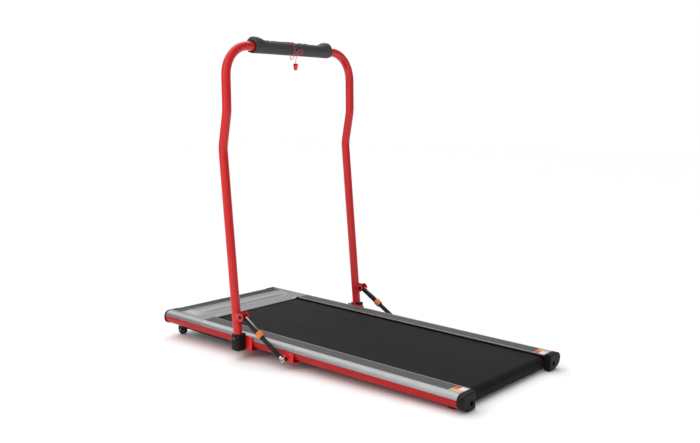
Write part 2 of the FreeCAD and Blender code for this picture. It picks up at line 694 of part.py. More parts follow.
def loop_solid(x0, x1, centre_a, radius_a, centre_b, radius_b):
    """The region inside an open belt round two circles in the YZ plane."""
    ay, az = centre_a
    by, bz = centre_b
    span = math.hypot(by - ay, bz - az)
    heading = math.atan2(bz - az, by - ay)
    spread = math.acos((radius_a - radius_b) / span)
    up = heading + spread
    down = heading - spread

    def at(centre, radius, angle):
        return V(x0, centre[0] + radius * math.cos(angle), centre[1] + radius * math.sin(angle))

    top = Part.LineSegment(at(centre_a, radius_a, up), at(centre_b, radius_b, up)).toShape()
    nose = Part.Arc(at(centre_b, radius_b, up), at(centre_b, radius_b, heading), at(centre_b, radius_b, down))
    low = Part.LineSegment(at(centre_b, radius_b, down), at(centre_a, radius_a, down)).toShape()
    tail = Part.Arc(
        at(centre_a, radius_a, down), at(centre_a, radius_a, heading + math.pi), at(centre_a, radius_a, up)
    )
    return prism([top, nose.toShape(), low, tail.toShape()], V(x1 - x0, 0, 0))


def belt_loop(x0, x1, centre_a, radius_a, centre_b, radius_b, thickness):
    outer = loop_solid(x0, x1, centre_a, radius_a + thickness, centre_b, radius_b + thickness)
    inner = loop_solid(x0, x1, centre_a, radius_a, centre_b, radius_b)
    return outer.cut(inner)


def running_belt():
    radius = ROLLER_RADIUS + BELT_CLEARANCE
    rear = (REAR_ROLLER_Y, ROLLER_Z)
    front = (FRONT_ROLLER_Y, ROLLER_Z)
    return belt_loop(-BELT_WIDTH / 2, BELT_WIDTH / 2, rear, radius, front, radius, BELT_THICKNESS)


def roller(y):
    """Steel roller tube with a ball bearing pressed in near each end."""
    tube = rod_x(-ROLLER_HALF, ROLLER_HALF, y, ROLLER_Z, ROLLER_RADIUS)
    bore = ROLLER_RADIUS - ROLLER_WALL
    tube = tube.cut(rod_x(-ROLLER_HALF - 1, ROLLER_HALF + 1, y, ROLLER_Z, bore))
    x1 = ROLLER_HALF - BEARING_INSET
    bearing = rod_x(x1 - BEARING_WIDTH, x1, y, ROLLER_Z, bore)
    bearing = bearing.cut(rod_x(0, x1 + 1, y, ROLLER_Z, AXLE_RADIUS + RUNNING_CLEARANCE))
    return Part.makeCompound([tube, bearing, mirrored(bearing)])


def rear_axle():
    axle = rod_x(-AXLE_HALF, AXLE_HALF, REAR_ROLLER_Y, ROLLER_Z, AXLE_RADIUS)
    reach = AXLE_RADIUS + 1
    cross = rod_y(REAR_ROLLER_Y - reach, REAR_ROLLER_Y + reach, BEAM_X, ROLLER_Z, TENSION_BOLT_RADIUS)
    return axle.cut([cross, mirrored(cross)])


def front_axle():
    return rod_x(-AXLE_HALF, AXLE_HALF, FRONT_ROLLER_Y, ROLLER_Z, AXLE_RADIUS)


def tension_bolts():
    """Socket-head bolts that draw the rear axle back through the end plates."""
    head = rod_y(RAIL_REAR - TENSION_HEAD, RAIL_REAR, BEAM_X, ROLLER_Z, TENSION_HEAD_RADIUS)
    socket = rod_y(RAIL_REAR - TENSION_HEAD - 1, RAIL_REAR - 3, BEAM_X, ROLLER_Z, 3.4)
    shank = rod_y(RAIL_REAR, RAIL_REAR + TENSION_LENGTH, BEAM_X, ROLLER_Z, TENSION_BOLT_RADIUS)
    return pair(head.cut(socket).fuse(shank))


# ---- drive ----

def grooved_pulley(y, z, radius, bore):
    """Ribbed belt pulley with three shallow grooves."""
    x1 = -PULLEY_X + PULLEY_WIDTH / 2
    x0 = -PULLEY_X - PULLEY_WIDTH / 2
    wheel = rod_x(x0, x1, y, z, radius)
    for share in (0.25, 0.5, 0.75):
        x = x0 + PULLEY_WIDTH * share
        ring = rod_x(x - 0.5, x + 0.5, y, z, radius + 1).cut(rod_x(x - 0.5, x + 0.5, y, z, radius - 0.8))
        wheel = wheel.cut(ring)
    return wheel.cut(rod_x(x0 - 1, x1 + 1, y, z, bore))


def drive_pulley():
    return grooved_pulley(FRONT_ROLLER_Y, ROLLER_Z, DRIVE_PULLEY_RADIUS, AXLE_RADIUS + RUNNING_CLEARANCE)


def motor_pulley():
    """Small pulley on the motor's shaft."""
    shaft_end = -PULLEY_X - PULLEY_WIDTH / 2
    shaft = rod_x(shaft_end, MOTOR_INNER_X + 12.0, MOTOR_Y, MOTOR_Z, MOTOR_SHAFT_RADIUS)
    wheel = grooved_pulley(MOTOR_Y, MOTOR_Z, MOTOR_PULLEY_RADIUS, MOTOR_SHAFT_RADIUS)
    return Part.makeCompound([wheel, shaft])


def drive_belt():
    half = PULLEY_WIDTH / 2 - 0.5
    return belt_loop(
        -PULLEY_X - half, -PULLEY_X + half,
        (FRONT_ROLLER_Y, ROLLER_Z), DRIVE_PULLEY_RADIUS + BELT_CLEARANCE,
        (MOTOR_Y, MOTOR_Z), MOTOR_PULLEY_RADIUS + BELT_CLEARANCE, DRIVE_BELT_THICKNESS,
    )


def motor():
    """Low motor can with end bells; its shaft bore runs part of the way in."""
    x1 = MOTOR_INNER_X + MOTOR_LENGTH
    can = rod_x(MOTOR_INNER_X + 8, x1 - 8, MOTOR_Y, MOTOR_Z, MOTOR_RADIUS - 1)
    near = rod_x(MOTOR_INNER_X, MOTOR_INNER_X + 8, MOTOR_Y, MOTOR_Z, MOTOR_RADIUS)
    far = rod_x(x1 - 8, x1, MOTOR_Y, MOTOR_Z, MOTOR_RADIUS)
    bore_radius = MOTOR_SHAFT_RADIUS + RUNNING_CLEARANCE
    bore = rod_x(MOTOR_INNER_X - 1, MOTOR_INNER_X + 13.0, MOTOR_Y, MOTOR_Z, bore_radius)
    return can.fuse([near, far]).removeSplitter().cut(bore)


def motor_bracket():
    """Folded steel bracket: an upright plate on the motor's face and a foot on the pan."""
    x1 = MOTOR_INNER_X
    x0 = x1 - 3.0
    foot_z = PAN_BOTTOM + PAN_WALL
    half = MOTOR_RADIUS - 3.0
    plate = box(x0, x1, MOTOR_Y - half, MOTOR_Y + half, foot_z, MOTOR_Z + 20)
    foot = box(x0, x1 + 40, MOTOR_Y - half, MOTOR_Y + half, foot_z, foot_z + 1.8)
    hole = rod_x(x0 - 1, x1 + 1, MOTOR_Y, MOTOR_Z, MOTOR_SHAFT_RADIUS + 2)
    return plate.fuse(foot).removeSplitter().cut(hole)


def control_board():
    """Drive board beside the motor, with a finned heat sink on it."""
    x0, x1 = 10.0, 130.0
    y0, y1 = MOTOR_Y - 30, MOTOR_Y + 24
    z0 = PAN_BOTTOM + PAN_WALL + 6
    board = box(x0, x1, y0, y1, z0, z0 + 1.6)
    posts = [rod_z(PAN_BOTTOM + PAN_WALL, z0, x, y, 3.0) for x in (x0 + 5, x1 - 5) for y in (y0 + 5, y1 - 5)]
    sink = box(x0 + 40, x1 - 10, y0 + 8, y1 - 8, z0 + 1.6, z0 + 30)
    slots = [box(x, x + 5, y0, y1, z0 + 6, z0 + 31) for x in range(int(x0) + 43, int(x1) - 14, 8)]
    parts = [rod_z(z0 + 1.6, z0 + 22, x0 + 14, y0 + 14 + 18 * i, 6.0) for i in range(3)]
    return Part.makeCompound([board, sink.cut(slots)] + posts + parts)


def belly_pan():
    """Black tray under the motor bay; its rear wall is low, to let the belt pass over."""
    outer = box(-PAN_HALF, PAN_HALF, PAN_REAR, PAN_FRONT, PAN_BOTTOM, PAN_TOP)
    front_foot = edges_along(outer, V(1, 0, 0), lambda c: c.z < PAN_BOTTOM + 1)
    outer = outer.makeFillet(9.0, front_foot)
    inner = box(
        -PAN_HALF + PAN_WALL, PAN_HALF - PAN_WALL, PAN_REAR + PAN_WALL, PAN_FRONT - PAN_WALL,
        PAN_BOTTOM + PAN_WALL, PAN_TOP + 1,
    )
    inner = inner.makeFillet(7.0, edges_along(inner, V(1, 0, 0), lambda c: c.z < PAN_BOTTOM + PAN_WALL + 1))
    low_rear = box(-RAIL_LIP_X, RAIL_LIP_X, PAN_REAR - 1, PAN_REAR + 5, PAN_TOP - 9, PAN_TOP + 1)
    return outer.cut([inner, low_rear])


# ---- wheels and pads ----

def front_wheel():
    x0 = WHEEL_X - WHEEL_WIDTH / 2
    x1 = WHEEL_X + WHEEL_WIDTH / 2
    wheel = rod_x(x0, x1, WHEEL_Y, WHEEL_RADIUS, WHEEL_RADIUS)
    rims = [e for e in wheel.Edges if len(e.Vertexes) == 1]
    wheel = wheel.makeFillet(1.5, rims)
    return wheel.cut(rod_x(x0 - 1, x1 + 1, WHEEL_Y, WHEEL_RADIUS, WHEEL_AXLE_RADIUS + RUNNING_CLEARANCE))


def wheel_bracket():
    """Black fork under the front cross member, with the wheel's fixed axle."""
    inner = WHEEL_X - WHEEL_WIDTH / 2 - WHEEL_SIDE_GAP
    outer = WHEEL_X + WHEEL_WIDTH / 2 + WHEEL_SIDE_GAP
    ear_profile = [
        (WHEEL_Y - 8, WHEEL_RADIUS - 6), (WHEEL_Y + 8, WHEEL_RADIUS - 6),
        (WHEEL_Y + 12, DECK_BOTTOM - 0.3), (WHEEL_Y - 12, DECK_BOTTOM - 0.3),
    ]
    ears = [polygon_x(ear_profile, inner - WHEEL_EAR, inner), polygon_x(ear_profile, outer, outer + WHEEL_EAR)]
    top = box(
        inner - WHEEL_EAR, outer + WHEEL_EAR, WHEEL_Y - 12, WHEEL_Y + 12,
        DECK_BOTTOM - 3.3, DECK_BOTTOM - 0.3,
    )
    riser = box(
        inner - WHEEL_EAR, BEAM_X - BEAM_WIDTH / 2 - 3, WHEEL_Y - 12, WHEEL_Y + 8,
        DECK_BOTTOM - 3.3, CROSS_BOTTOM,
    )
    fork = top.fuse(ears + [riser]).removeSplitter()
    fork = fork.cut(rod_x(inner - 5, outer + 5, WHEEL_Y, WHEEL_RADIUS, WHEEL_AXLE_RADIUS))
    axle = rod_x(inner - WHEEL_EAR, outer + WHEEL_EAR, WHEEL_Y, WHEEL_RADIUS, WHEEL_AXLE_RADIUS)
    head = rod_x(outer + WHEEL_EAR, outer + WHEEL_EAR + 2.0, WHEEL_Y, WHEEL_RADIUS, 5.0)
    return [fork, axle.fuse(head).removeSplitter()]


def wheel_brackets():
    right = wheel_bracket()
    return Part.makeCompound(right + [mirrored(s) for s in right])


def tilt(shape, direction):
    """Turn about the front axle: direction +1 lays the deck frame on the floor, -1 undoes it."""
    turned = shape.copy()
    turned.rotate(V(0, WHEEL_Y, WHEEL_RADIUS), V(1, 0, 0), direction * INCLINE)
    return turned


def rear_feet():
    """Rubber pads under the beams, cut level with the floor."""
    floor = tilt(box(-400, 400, -900, 300, -100, 0), -1)
    foot = rod_z(10.0, DECK_BOTTOM, BEAM_X, FOOT_Y, FOOT_RADIUS).cut(floor)
    return pair(foot)


# ---- brackets ----

def deck_bracket(plate, corner):
    """Angle bracket: upright plate beside the rail and a base bolted up under the beam."""
    y0, y1, top = plate
    upright = box(BRACKET_X, BRACKET_X + BRACKET_WALL, y0, y1, BRACKET_BASE_Z, top)
    upright = upright.makeFillet(corner, edges_along(upright, V(1, 0, 0), lambda c: c.z > top - 1))
    base = box(BRACKET_BASE_X, BRACKET_X, y0, y1, BRACKET_BASE_Z, BRACKET_BASE_Z + BRACKET_WALL)
    angle = upright.fuse(base).removeSplitter()
    return angle.cut([
        rod_z(BRACKET_BASE_Z - 1, BRACKET_BASE_Z + 5, BEAM_X, y, BRACKET_BOLT_RADIUS)
        for y in bolt_places()
    ])


def hinge_bracket():
    stud_hole = rod_x(BRACKET_X - 1, BRACKET_X + 5, HINGE_Y, HINGE_Z, HINGE_STUD_RADIUS)
    return deck_bracket(HINGE_PLATE, 3.0).cut(stud_hole)


def hinge_stud():
    """Pivot stud fixed in the upright plate, with a domed end outside the sleeve."""
    outside = LEG_X + TUBE_RADIUS + SLEEVE_WALL + 1.2
    stud = rod_x(BRACKET_X, outside, HINGE_Y, HINGE_Z, HINGE_STUD_RADIUS)
    washer = rod_x(outside, outside + 1.2, HINGE_Y, HINGE_Z, 7.0)
    nut = rod_x(outside + 1.2, outside + 4.0, HINGE_Y, HINGE_Z, 4.0)
    dome = nut.makeFillet(1.5, [e for e in nut.Edges if e.CenterOfMass.x > outside + 3.9])
    return stud.fuse([washer, dome]).removeSplitter()


def bracket_bolts():
    """Bolts from below through bracket, skirt and beam."""
    bolts = []
    for y in bolt_places():
        head = rod_z(BRACKET_BASE_Z - 4.0, BRACKET_BASE_Z, BEAM_X, y, 5.5)
        shank = rod_z(BRACKET_BASE_Z, BEAM_BOTTOM + 12, BEAM_X, y, BRACKET_BOLT_RADIUS)
        bolt = head.fuse(shank).removeSplitter()
        bolts += [bolt, mirrored(bolt)]
    return Part.makeCompound(bolts)


# ---- handrail ----

def rounded_path(points, radii):
    """Straight runs joined by tangent arcs; radii holds one value per inner point."""
    edges = []
    here = points[0]
    for before, corner, after, radius in zip(points, points[1:], points[2:], radii):
        back = (before - corner).normalize()
        ahead = (after - corner).normalize()
        half_turn = (math.pi - back.getAngle(ahead)) / 2
        setback = radius * math.tan(half_turn)
        start = corner + back * setback
        end = corner + ahead * setback
        bisector = (back + ahead).normalize()
        centre = corner + bisector * (radius / math.cos(half_turn))
        middle = centre - bisector * radius
        edges.append(Part.LineSegment(here, start).toShape())
        edges.append(Part.Arc(start, middle, end).toShape())
        here = end
    edges.append(Part.LineSegment(here, points[-1]).toShape())
    return Part.Wire(edges)


def sweep_round(path, radius):
    start = path.Edges[0].Vertexes[0].Point
    heading = path.Edges[0].tangentAt(path.Edges[0].FirstParameter)
    ring = Part.Wire([Part.makeCircle(radius, start, heading)])
    return path.makePipeShell([ring], True, False)


def handrail_path():
    leg = [LEG_BOTTOM, LOWER_KINK, UPPER_KINK, TOP_BAR]
    left = [V(-LEG_X, y, z) for y, z in leg]
    right = [V(LEG_X, y, z) for y, z in reversed(leg)]
    radii = [KINK_RADIUS, KINK_RADIUS, CORNER_RADIUS, CORNER_RADIUS, KINK_RADIUS, KINK_RADIUS]
    return rounded_path(left + right, radii)


def leg_axis(side):
    """Cylinder of the tube's outer size along the straight lower leg."""
    low = V(side * LEG_X, *LEG_BOTTOM)
    high = V(side * LEG_X, *LOWER_KINK)
    return Part.makeCylinder(TUBE_RADIUS, (high - low).Length, low, high - low)


def handrail_tube():
    path = handrail_path()
    tube = sweep_round(path, TUBE_RADIUS).cut(sweep_round(path, TUBE_RADIUS - TUBE_WALL))
    reach = LEG_X + TUBE_RADIUS + 5
    stud_hole = rod_x(-reach, reach, HINGE_Y, HINGE_Z, HINGE_STUD_RADIUS + RUNNING_CLEARANCE)
    return tube.cut(stud_hole)


def hinge_sleeve():
    """Black moulded sleeve over the foot of the leg; it turns with the leg."""
    half = SLEEVE_DEPTH / 2
    x0 = BRACKET_X + BRACKET_WALL + 0.8
    x1 = LEG_X + TUBE_RADIUS + SLEEVE_WALL + 1.0
    body = box(x0, x1, HINGE_Y - half, HINGE_Y + half, SLEEVE_BOTTOM, SLEEVE_TOP)
    body = body.makeFillet(9.0, edges_along(body, V(0, 0, 1), lambda c: c.x > x1 - 1))
    body = body.makeFillet(5.0, edges_along(body, V(1, 0, 0), lambda c: c.z < SLEEVE_BOTTOM + 1))
    rib = box(x0, x0 + 5, HINGE_Y - half, HINGE_Y - half + 10, SLEEVE_TOP - 2, SLEEVE_TOP + 5)
    body = body.fuse(rib).removeSplitter()
    floor = box(x0 - 1, x1 + 1, HINGE_Y - half - 1, HINGE_Y + half + 1, SLEEVE_BOTTOM - 1, LEG_BOTTOM[1] - 2)
    stud_hole = rod_x(x0 - 1, x1 + 1, HINGE_Y, HINGE_Z, HINGE_STUD_RADIUS + RUNNING_CLEARANCE)
    low = V(LEG_X, *LEG_BOTTOM)
    high = V(LEG_X, *LOWER_KINK)
    way = (high - low).normalize()
    bore = Part.makeCylinder(TUBE_RADIUS, 80.0, low - way * 8.0, way)
    return body.cut([bore.cut(floor), stud_hole])


def ear_plate(side_offset):
    """Weld-on ear: a disc with a neck that runs to the leg."""
    x0 = LEG_X + side_offset - EAR_WALL / 2
    x1 = x0 + EAR_WALL
    disc = rod_x(x0, x1, EAR_Y, EAR_Z, EAR_RADIUS)
    low = V(x0, *LEG_BOTTOM)
    way = (V(x0, *LOWER_KINK) - low).normalize()
    reach = (EAR_Z - LEG_BOTTOM[1]) / way.z
    root = low + way * reach
    neck = box(x0, x1, EAR_Y, root.y, EAR_Z - EAR_RADIUS, EAR_Z + EAR_RADIUS)
    plate = disc.fuse(neck).removeSplitter()
    hole = rod_x(x0 - 1, x1 + 1, EAR_Y, EAR_Z, PIVOT_BOLT_RADIUS)
    return plate.cut([leg_axis(1), hole])


def strut_ears():
    plates = [ear_plate(EAR_OFFSET), ear_plate(-EAR_OFFSET)]
    return Part.makeCompound(plates + [mirrored(p) for p in plates])


def ear_bolts():
    """Bolt through both ears and the strut's upper eye."""
    reach = EAR_OFFSET + EAR_WALL / 2
    shank = rod_x(LEG_X - reach, LEG_X + reach, EAR_Y, EAR_Z, PIVOT_BOLT_RADIUS)
    head = rod_x(LEG_X + reach, LEG_X + reach + 2.5, EAR_Y, EAR_Z, 5.5)
    nut = rod_x(LEG_X - reach - 2.5, LEG_X - reach, EAR_Y, EAR_Z, 5.5)
    return pair(shank.fuse([head, nut]).removeSplitter())


# ---- folding strut ----

STRUT_TOP = V(LEG_X, EAR_Y, EAR_Z)
STRUT_WAY = (V(LEG_X, EYE_Y, EYE_Z) - STRUT_TOP).normalize()
STRUT_LENGTH = (V(LEG_X, EYE_Y, EYE_Z) - STRUT_TOP).Length


def along_strut(start, end, radius):
    return Part.makeCylinder(radius, end - start, STRUT_TOP + STRUT_WAY * start, STRUT_WAY)


def strut_shroud():
    """Upper half: eye on the ear bolt, chrome rod and the black guard tube round it."""
    half = EYE_WIDTH / 2
    eye = rod_x(LEG_X - half, LEG_X + half, EAR_Y, EAR_Z, EYE_RADIUS)
    block = along_strut(0, SHROUD_START + 4, EYE_RADIUS - 2)
    guard = along_strut(SHROUD_START, SHROUD_END, SHROUD_RADIUS)
    guard = guard.cut(along_strut(SHROUD_START + 4, SHROUD_END + 1, SHROUD_BORE))
    head = guard.fuse([eye, block]).removeSplitter()
    hole = rod_x(LEG_X - half - 1, LEG_X + half + 1, EAR_Y, EAR_Z, PIVOT_BOLT_RADIUS + RUNNING_CLEARANCE)
    rod = along_strut(SHROUD_START + 4, ROD_END, ROD_RADIUS)
    return Part.makeCompound([head.cut(hole), rod])


def lock_collar():
    """Orange release collar that slides on the guard tube."""
    start = COLLAR_CENTRE - COLLAR_LENGTH / 2
    end = min(COLLAR_CENTRE + COLLAR_LENGTH / 2, SHROUD_END)
    ring = along_strut(start, end, COLLAR_RADIUS)
    ring = ring.makeFillet(1.5, [e for e in ring.Edges if len(e.Vertexes) == 1])
    return ring.cut(along_strut(start - 1, end + 1, SHROUD_RADIUS + 0.3))


def strut_cylinder():
    """Lower half: black cylinder, bright eye and the pivot bolt that reaches to its bracket."""
    end = STRUT_LENGTH - CYLINDER_EYE_GAP
    barrel = along_strut(CYLINDER_START, end, CYLINDER_RADIUS)
    bore = along_strut(CYLINDER_START - 1, end - 3, ROD_RADIUS + 0.3)
    barrel = barrel.cut(bore)
    half = EYE_WIDTH / 2
    eye = rod_x(LEG_X - half, LEG_X + half, EYE_Y, EYE_Z, EYE_RADIUS)
    neck = along_strut(end, STRUT_LENGTH, 3.5)
    link = eye.fuse(neck).removeSplitter()
    link = link.cut(rod_x(LEG_X - half - 1, LEG_X + half + 1, EYE_Y, EYE_Z, PIVOT_BOLT_RADIUS))
    inner = BRACKET_X + BRACKET_WALL + 0.5
    shank = rod_x(inner, LEG_X + half + 1.0, EYE_Y, EYE_Z, PIVOT_BOLT_RADIUS)
    nut = rod_x(inner, inner + 5.0, EYE_Y, EYE_Z, 5.5)
    bolt = shank.fuse(nut).removeSplitter()
    return Part.makeCompound([barrel, link, bolt])


# ---- console ----

def console_solid():
    """Grip bar with a flat-topped block in front and a swollen lobe at each end."""
    y, z = TOP_BAR
    bar = rod_x(-BAR_HALF, BAR_HALF, y, z, GRIP_RADIUS)
    block = box(-BLOCK_HALF, BLOCK_HALF, y, CONSOLE_FRONT, CONSOLE_CHIN, CONSOLE_TOP)
    block = block.makeFillet(12.0, edges_along(block, V(1, 0, 0), lambda c: c.y > y + 1 and c.z < z))
    block = block.makeFillet(3.0, edges_along(block, V(1, 0, 0), lambda c: c.y > y + 1 and c.z > z))
    lobe = rod_x(LOBE_START, CONSOLE_HALF, y + LOBE_SHIFT, z + LOBE_SHIFT, LOBE_RADIUS)
    rims = [e for e in lobe.Edges if len(e.Vertexes) == 1]
    inner_rim = [e for e in rims if e.CenterOfMass.x < LOBE_START + 1]
    lobe = lobe.makeFillet(LOBE_INNER_ROUND, inner_rim)
    lobe = lobe.makeFillet(LOBE_OUTER_ROUND, [e for e in lobe.Edges if e.CenterOfMass.x > CONSOLE_HALF - 0.01])
    return bar.fuse([block, lobe, mirrored(lobe)])


def pad_recess():
    return box(-PAD_HALF, PAD_HALF, PAD_REAR, CONSOLE_FRONT + 10, CONSOLE_TOP - 0.1, CONSOLE_TOP + 20)


def button_hole(x):
    return pill(
        BUTTON_LENGTH + 2 * BUTTON_GAP, BUTTON_WIDTH + 2 * BUTTON_GAP,
        CONSOLE_TOP - 10, CONSOLE_TOP + 5, x, BUTTON_Y,
    )


def key_hole():
    return box(
        KEY_X - KEY_PEG / 2 - 0.4, KEY_X + KEY_PEG / 2 + 0.4, BUTTON_Y - 3.4, BUTTON_Y + 3.4,
        CAVITY_TOP - 1, CONSOLE_TOP + 5,
    )


def console_shells():
    """Rear grip shell and front shell, parted by a plane through the tube's axis."""
    y, z = TOP_BAR
    reach = CONSOLE_HALF + 5
    whole = console_solid().cut(rod_x(-reach, reach, y, z, TUBE_RADIUS))
    whole = whole.cut(pad_recess())
    cavity = box(-PAD_HALF + 1, PAD_HALF - 1, CAVITY_REAR, CONSOLE_FRONT - 2.5, CAVITY_BOTTOM, CAVITY_TOP)
    holes = [button_hole(x) for x in BUTTON_X] + [key_hole()]
    rear = whole.common(box(-reach, reach, y - 60, y, z - 60, z + 60))
    front = whole.common(box(-reach, reach, y, y + 60, z - 60, z + 60)).cut([cavity] + holes)
    add("console_rear_shell", rear)
    add("console_front_shell", front)


def console_panel():
    """Glossy control panel on the flat top between the lobes."""
    plate = box(
        -PAD_HALF + 0.5, PAD_HALF - 0.5, PAD_REAR + 0.5, CONSOLE_FRONT - 3.5,
        CONSOLE_TOP - 0.1, CONSOLE_TOP + PAD_THICKNESS,
    )
    return plate.cut([button_hole(x) for x in BUTTON_X] + [key_hole()])


def console_button(x):
    """Key cap with a flange below the panel."""
    top = CONSOLE_TOP + PAD_THICKNESS + BUTTON_HEIGHT
    cap = pill(BUTTON_LENGTH, BUTTON_WIDTH, CAVITY_TOP - 3.0, top, x, BUTTON_Y)
    cap = cap.makeFillet(0.8, [e for e in cap.Edges if e.BoundBox.ZMin > top - 0.01])
    flange = pill(BUTTON_LENGTH + 3, BUTTON_WIDTH + 2.4, CAVITY_TOP - 3.0, CAVITY_TOP - 1.2, x, BUTTON_Y)
    return cap.fuse(flange).removeSplitter()


def console_board():
    """Circuit board under the buttons, with one switch under each."""
    board = box(-PAD_HALF + 4, PAD_HALF - 4, CAVITY_REAR + 0.3, CONSOLE_FRONT - 3.0, BOARD_Z, BOARD_Z + 1.6)
    switches = [
        box(x - 3, x + 3, BUTTON_Y - 3, BUTTON_Y + 3, BOARD_Z + 1.6, CAVITY_TOP - 3.2 - BUTTON_TRAVEL)
        for x in BUTTON_X
    ]
    return board.fuse(switches).removeSplitter()


def safety_key():
    """Red magnetic key that sits on the panel, with a peg in its socket."""
    z0 = CONSOLE_TOP + PAD_THICKNESS + 0.2
    y0 = BUTTON_Y - KEY_WIDTH / 2 - 1.0
    base = pill(KEY_LENGTH, KEY_WIDTH, z0, z0 + KEY_HEIGHT, KEY_X, y0 + KEY_WIDTH / 2)
    base = base.makeFillet(1.0, [e for e in base.Edges if e.BoundBox.ZMin > z0 + KEY_HEIGHT - 0.01])
    half = KEY_PEG / 2
    peg = box(KEY_X - half, KEY_X + half, BUTTON_Y - 3, BUTTON_Y + 3, CAVITY_TOP, z0 + 0.5)
    return base.fuse(peg).removeSplitter()


def cord_radii(points):
    radii = []
    for before, corner, after in zip(points, points[1:], points[2:]):
        back = before - corner
        ahead = after - corner
        shorter = min(back.Length, ahead.Length)
        half_turn = (math.pi - back.getAngle(ahead)) / 2
        radii.append(CORD_ARC_SHARE * shorter / math.tan(half_turn))
    return radii


def safety_cord():
    points = [V(*p) for p in CORD_POINTS]
    radii = cord_radii(points)
    print("cord radii", [round(r, 1) for r in radii])
    path = rounded_path(points, radii)
    print("cord length", round(path.Length, 1))
    tube = sweep_round(path, CORD_RADIUS)
    print("cord volume share", round(tube.Volume / (math.pi * CORD_RADIUS ** 2 * path.Length), 4))
    return tube


def key_clip():
    """Small two-jaw clothing clip at the end of the cord."""
    x, y, top = CORD_POINTS[-1]
    half = CLIP_WIDTH / 2
    low = top - CLIP_HEIGHT
    rear = [(y - 3.6, top + 1.0), (y - 0.9, top - 7.0), (y - 0.4, low), (y - 3.0, low + 1.0), (y - 4.4, top - 6.0)]
    front = [(2 * y - v, z) for v, z in reversed(rear)]
    jaws = [polygon_x(rear, x - half, x + half), polygon_x(front, x - half, x + half)]
    pin = rod_x(x - half + 2, x + half - 2, y, top - 9.0, 1.6)
    eyelet = rod_z(top - 9.0, top, x, y, 1.3)
    return Part.makeCompound([jaws[0].cut(pin), jaws[1].cut(pin), pin.fuse(eyelet).removeSplitter()])


def pan_screws():
    """Screw heads under the tray."""
    screws = []
    for x in PAN_SCREW_X:
        for y in (PAN_REAR + 35, PAN_FRONT - 16):
            head = rod_z(PAN_BOTTOM - 2.0, PAN_BOTTOM, x, y, 3.5)
            screws.append(head)
    return Part.makeCompound(screws)


# ---- assembly ----

def build_deck():
    add_sides("side_rail", side_rail())
    add_sides("rail_skirt", rail_skirt())
    add_sides("foot_strip", foot_strip())
    add_sides("rear_cap", rear_cap())
    add("front_caps", pair(front_cap()))
    add("base_beams", base_beams())
    add("cross_members", cross_members())
    add("deck_board", deck_board())
    add("deck_cushions", deck_cushions())
    add("running_belt", running_belt())
    add("rear_roller", roller(REAR_ROLLER_Y))
    add("rear_roller_axle", rear_axle())
    add("front_roller", roller(FRONT_ROLLER_Y))
    add("front_roller_axle", front_axle())
    add("tension_bolts", tension_bolts())


def build_drive():
    add("drive_pulley", drive_pulley())
    add("drive_belt", drive_belt())
    add("motor", motor())
    add("motor_pulley", motor_pulley())
    add("motor_bracket", motor_bracket())
    add("control_board", control_board())
    add("motor_cover", motor_cover())
    add("front_panel", front_panel())
    add("belly_pan", belly_pan())
    add("pan_screws", pan_screws())
    add("power_inlet", power_inlet())
    add("power_rocker", power_rocker())


def build_feet():
    add_sides("front_wheel", front_wheel())
    add("wheel_brackets", wheel_brackets())
    add("rear_feet", rear_feet())


def build_handrail():
    add("hinge_brackets", pair(hinge_bracket()))
    add("strut_brackets", pair(deck_bracket(STRUT_PLATE, 3.0)))
    add("hinge_studs", pair(hinge_stud()))
    add("bracket_bolts", bracket_bolts())
    add("handrail_tube", handrail_tube())
    add("hinge_sleeves", pair(hinge_sleeve()))
    add("strut_ears", strut_ears())
    add("ear_bolts", ear_bolts())
    add_sides("strut_shroud", strut_shroud())
    add_sides("lock_collar", lock_collar())
    add_sides("strut_cylinder", strut_cylinder())


def build_console():
    console_shells()
    add("console_panel", console_panel())
    add("console_board", console_board())
    for number, x in enumerate(BUTTON_X, 1):
        add("button_%d" % number, console_button(x))
    add("safety_key", safety_key())
    add("safety_cord", safety_cord())
    add("key_clip", key_clip())


def build():
    build_deck()
    build_drive()
    build_feet()
    build_handrail()
    build_console()


def centre_shift(placed):
    """Y move that centres the placed parts on the origin, measured without the cord and its clip."""
    boxes = [s.optimalBoundingBox(False, False) for n, s in placed.items() if n not in ("safety_cord", "key_clip")]
    return -(min(b.YMin for b in boxes) + max(b.YMax for b in boxes)) / 2


build()
PLACED = {name: tilt(shape, 1) for name, shape in NODES.items()}
Y_SHIFT = centre_shift(PLACED)
os.makedirs("parts", exist_ok=True)
for name, shape in PLACED.items():
    shape.translate(V(0, Y_SHIFT, 0))
    shape.exportStep("parts/%s.step" % name)
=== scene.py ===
import json
import math

import bmesh
import bpy
from mathutils import Matrix, Vector


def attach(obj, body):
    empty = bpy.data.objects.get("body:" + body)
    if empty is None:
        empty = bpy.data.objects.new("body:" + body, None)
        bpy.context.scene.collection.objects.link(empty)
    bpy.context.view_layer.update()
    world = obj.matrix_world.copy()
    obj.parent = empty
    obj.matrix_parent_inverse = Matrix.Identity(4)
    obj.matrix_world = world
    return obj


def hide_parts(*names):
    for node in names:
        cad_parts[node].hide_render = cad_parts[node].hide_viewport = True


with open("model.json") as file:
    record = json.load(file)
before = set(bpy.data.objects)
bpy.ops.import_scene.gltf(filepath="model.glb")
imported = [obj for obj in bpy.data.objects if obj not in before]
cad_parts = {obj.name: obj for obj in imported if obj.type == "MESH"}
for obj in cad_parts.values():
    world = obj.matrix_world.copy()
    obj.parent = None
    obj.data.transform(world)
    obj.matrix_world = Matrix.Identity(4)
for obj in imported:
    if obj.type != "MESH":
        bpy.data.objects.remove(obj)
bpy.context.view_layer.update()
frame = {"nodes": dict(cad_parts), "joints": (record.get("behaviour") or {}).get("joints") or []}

# Walking-pad treadmill with a folding handrail.
#
# Pieces are drawn in millimetres in the deck frame: X to the user's right, Y in the walking
# direction, Z square to the deck, Y = 0 at mid deck and Z = 0 under the front wheels.
# LEVEL_TO_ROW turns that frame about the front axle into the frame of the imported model.

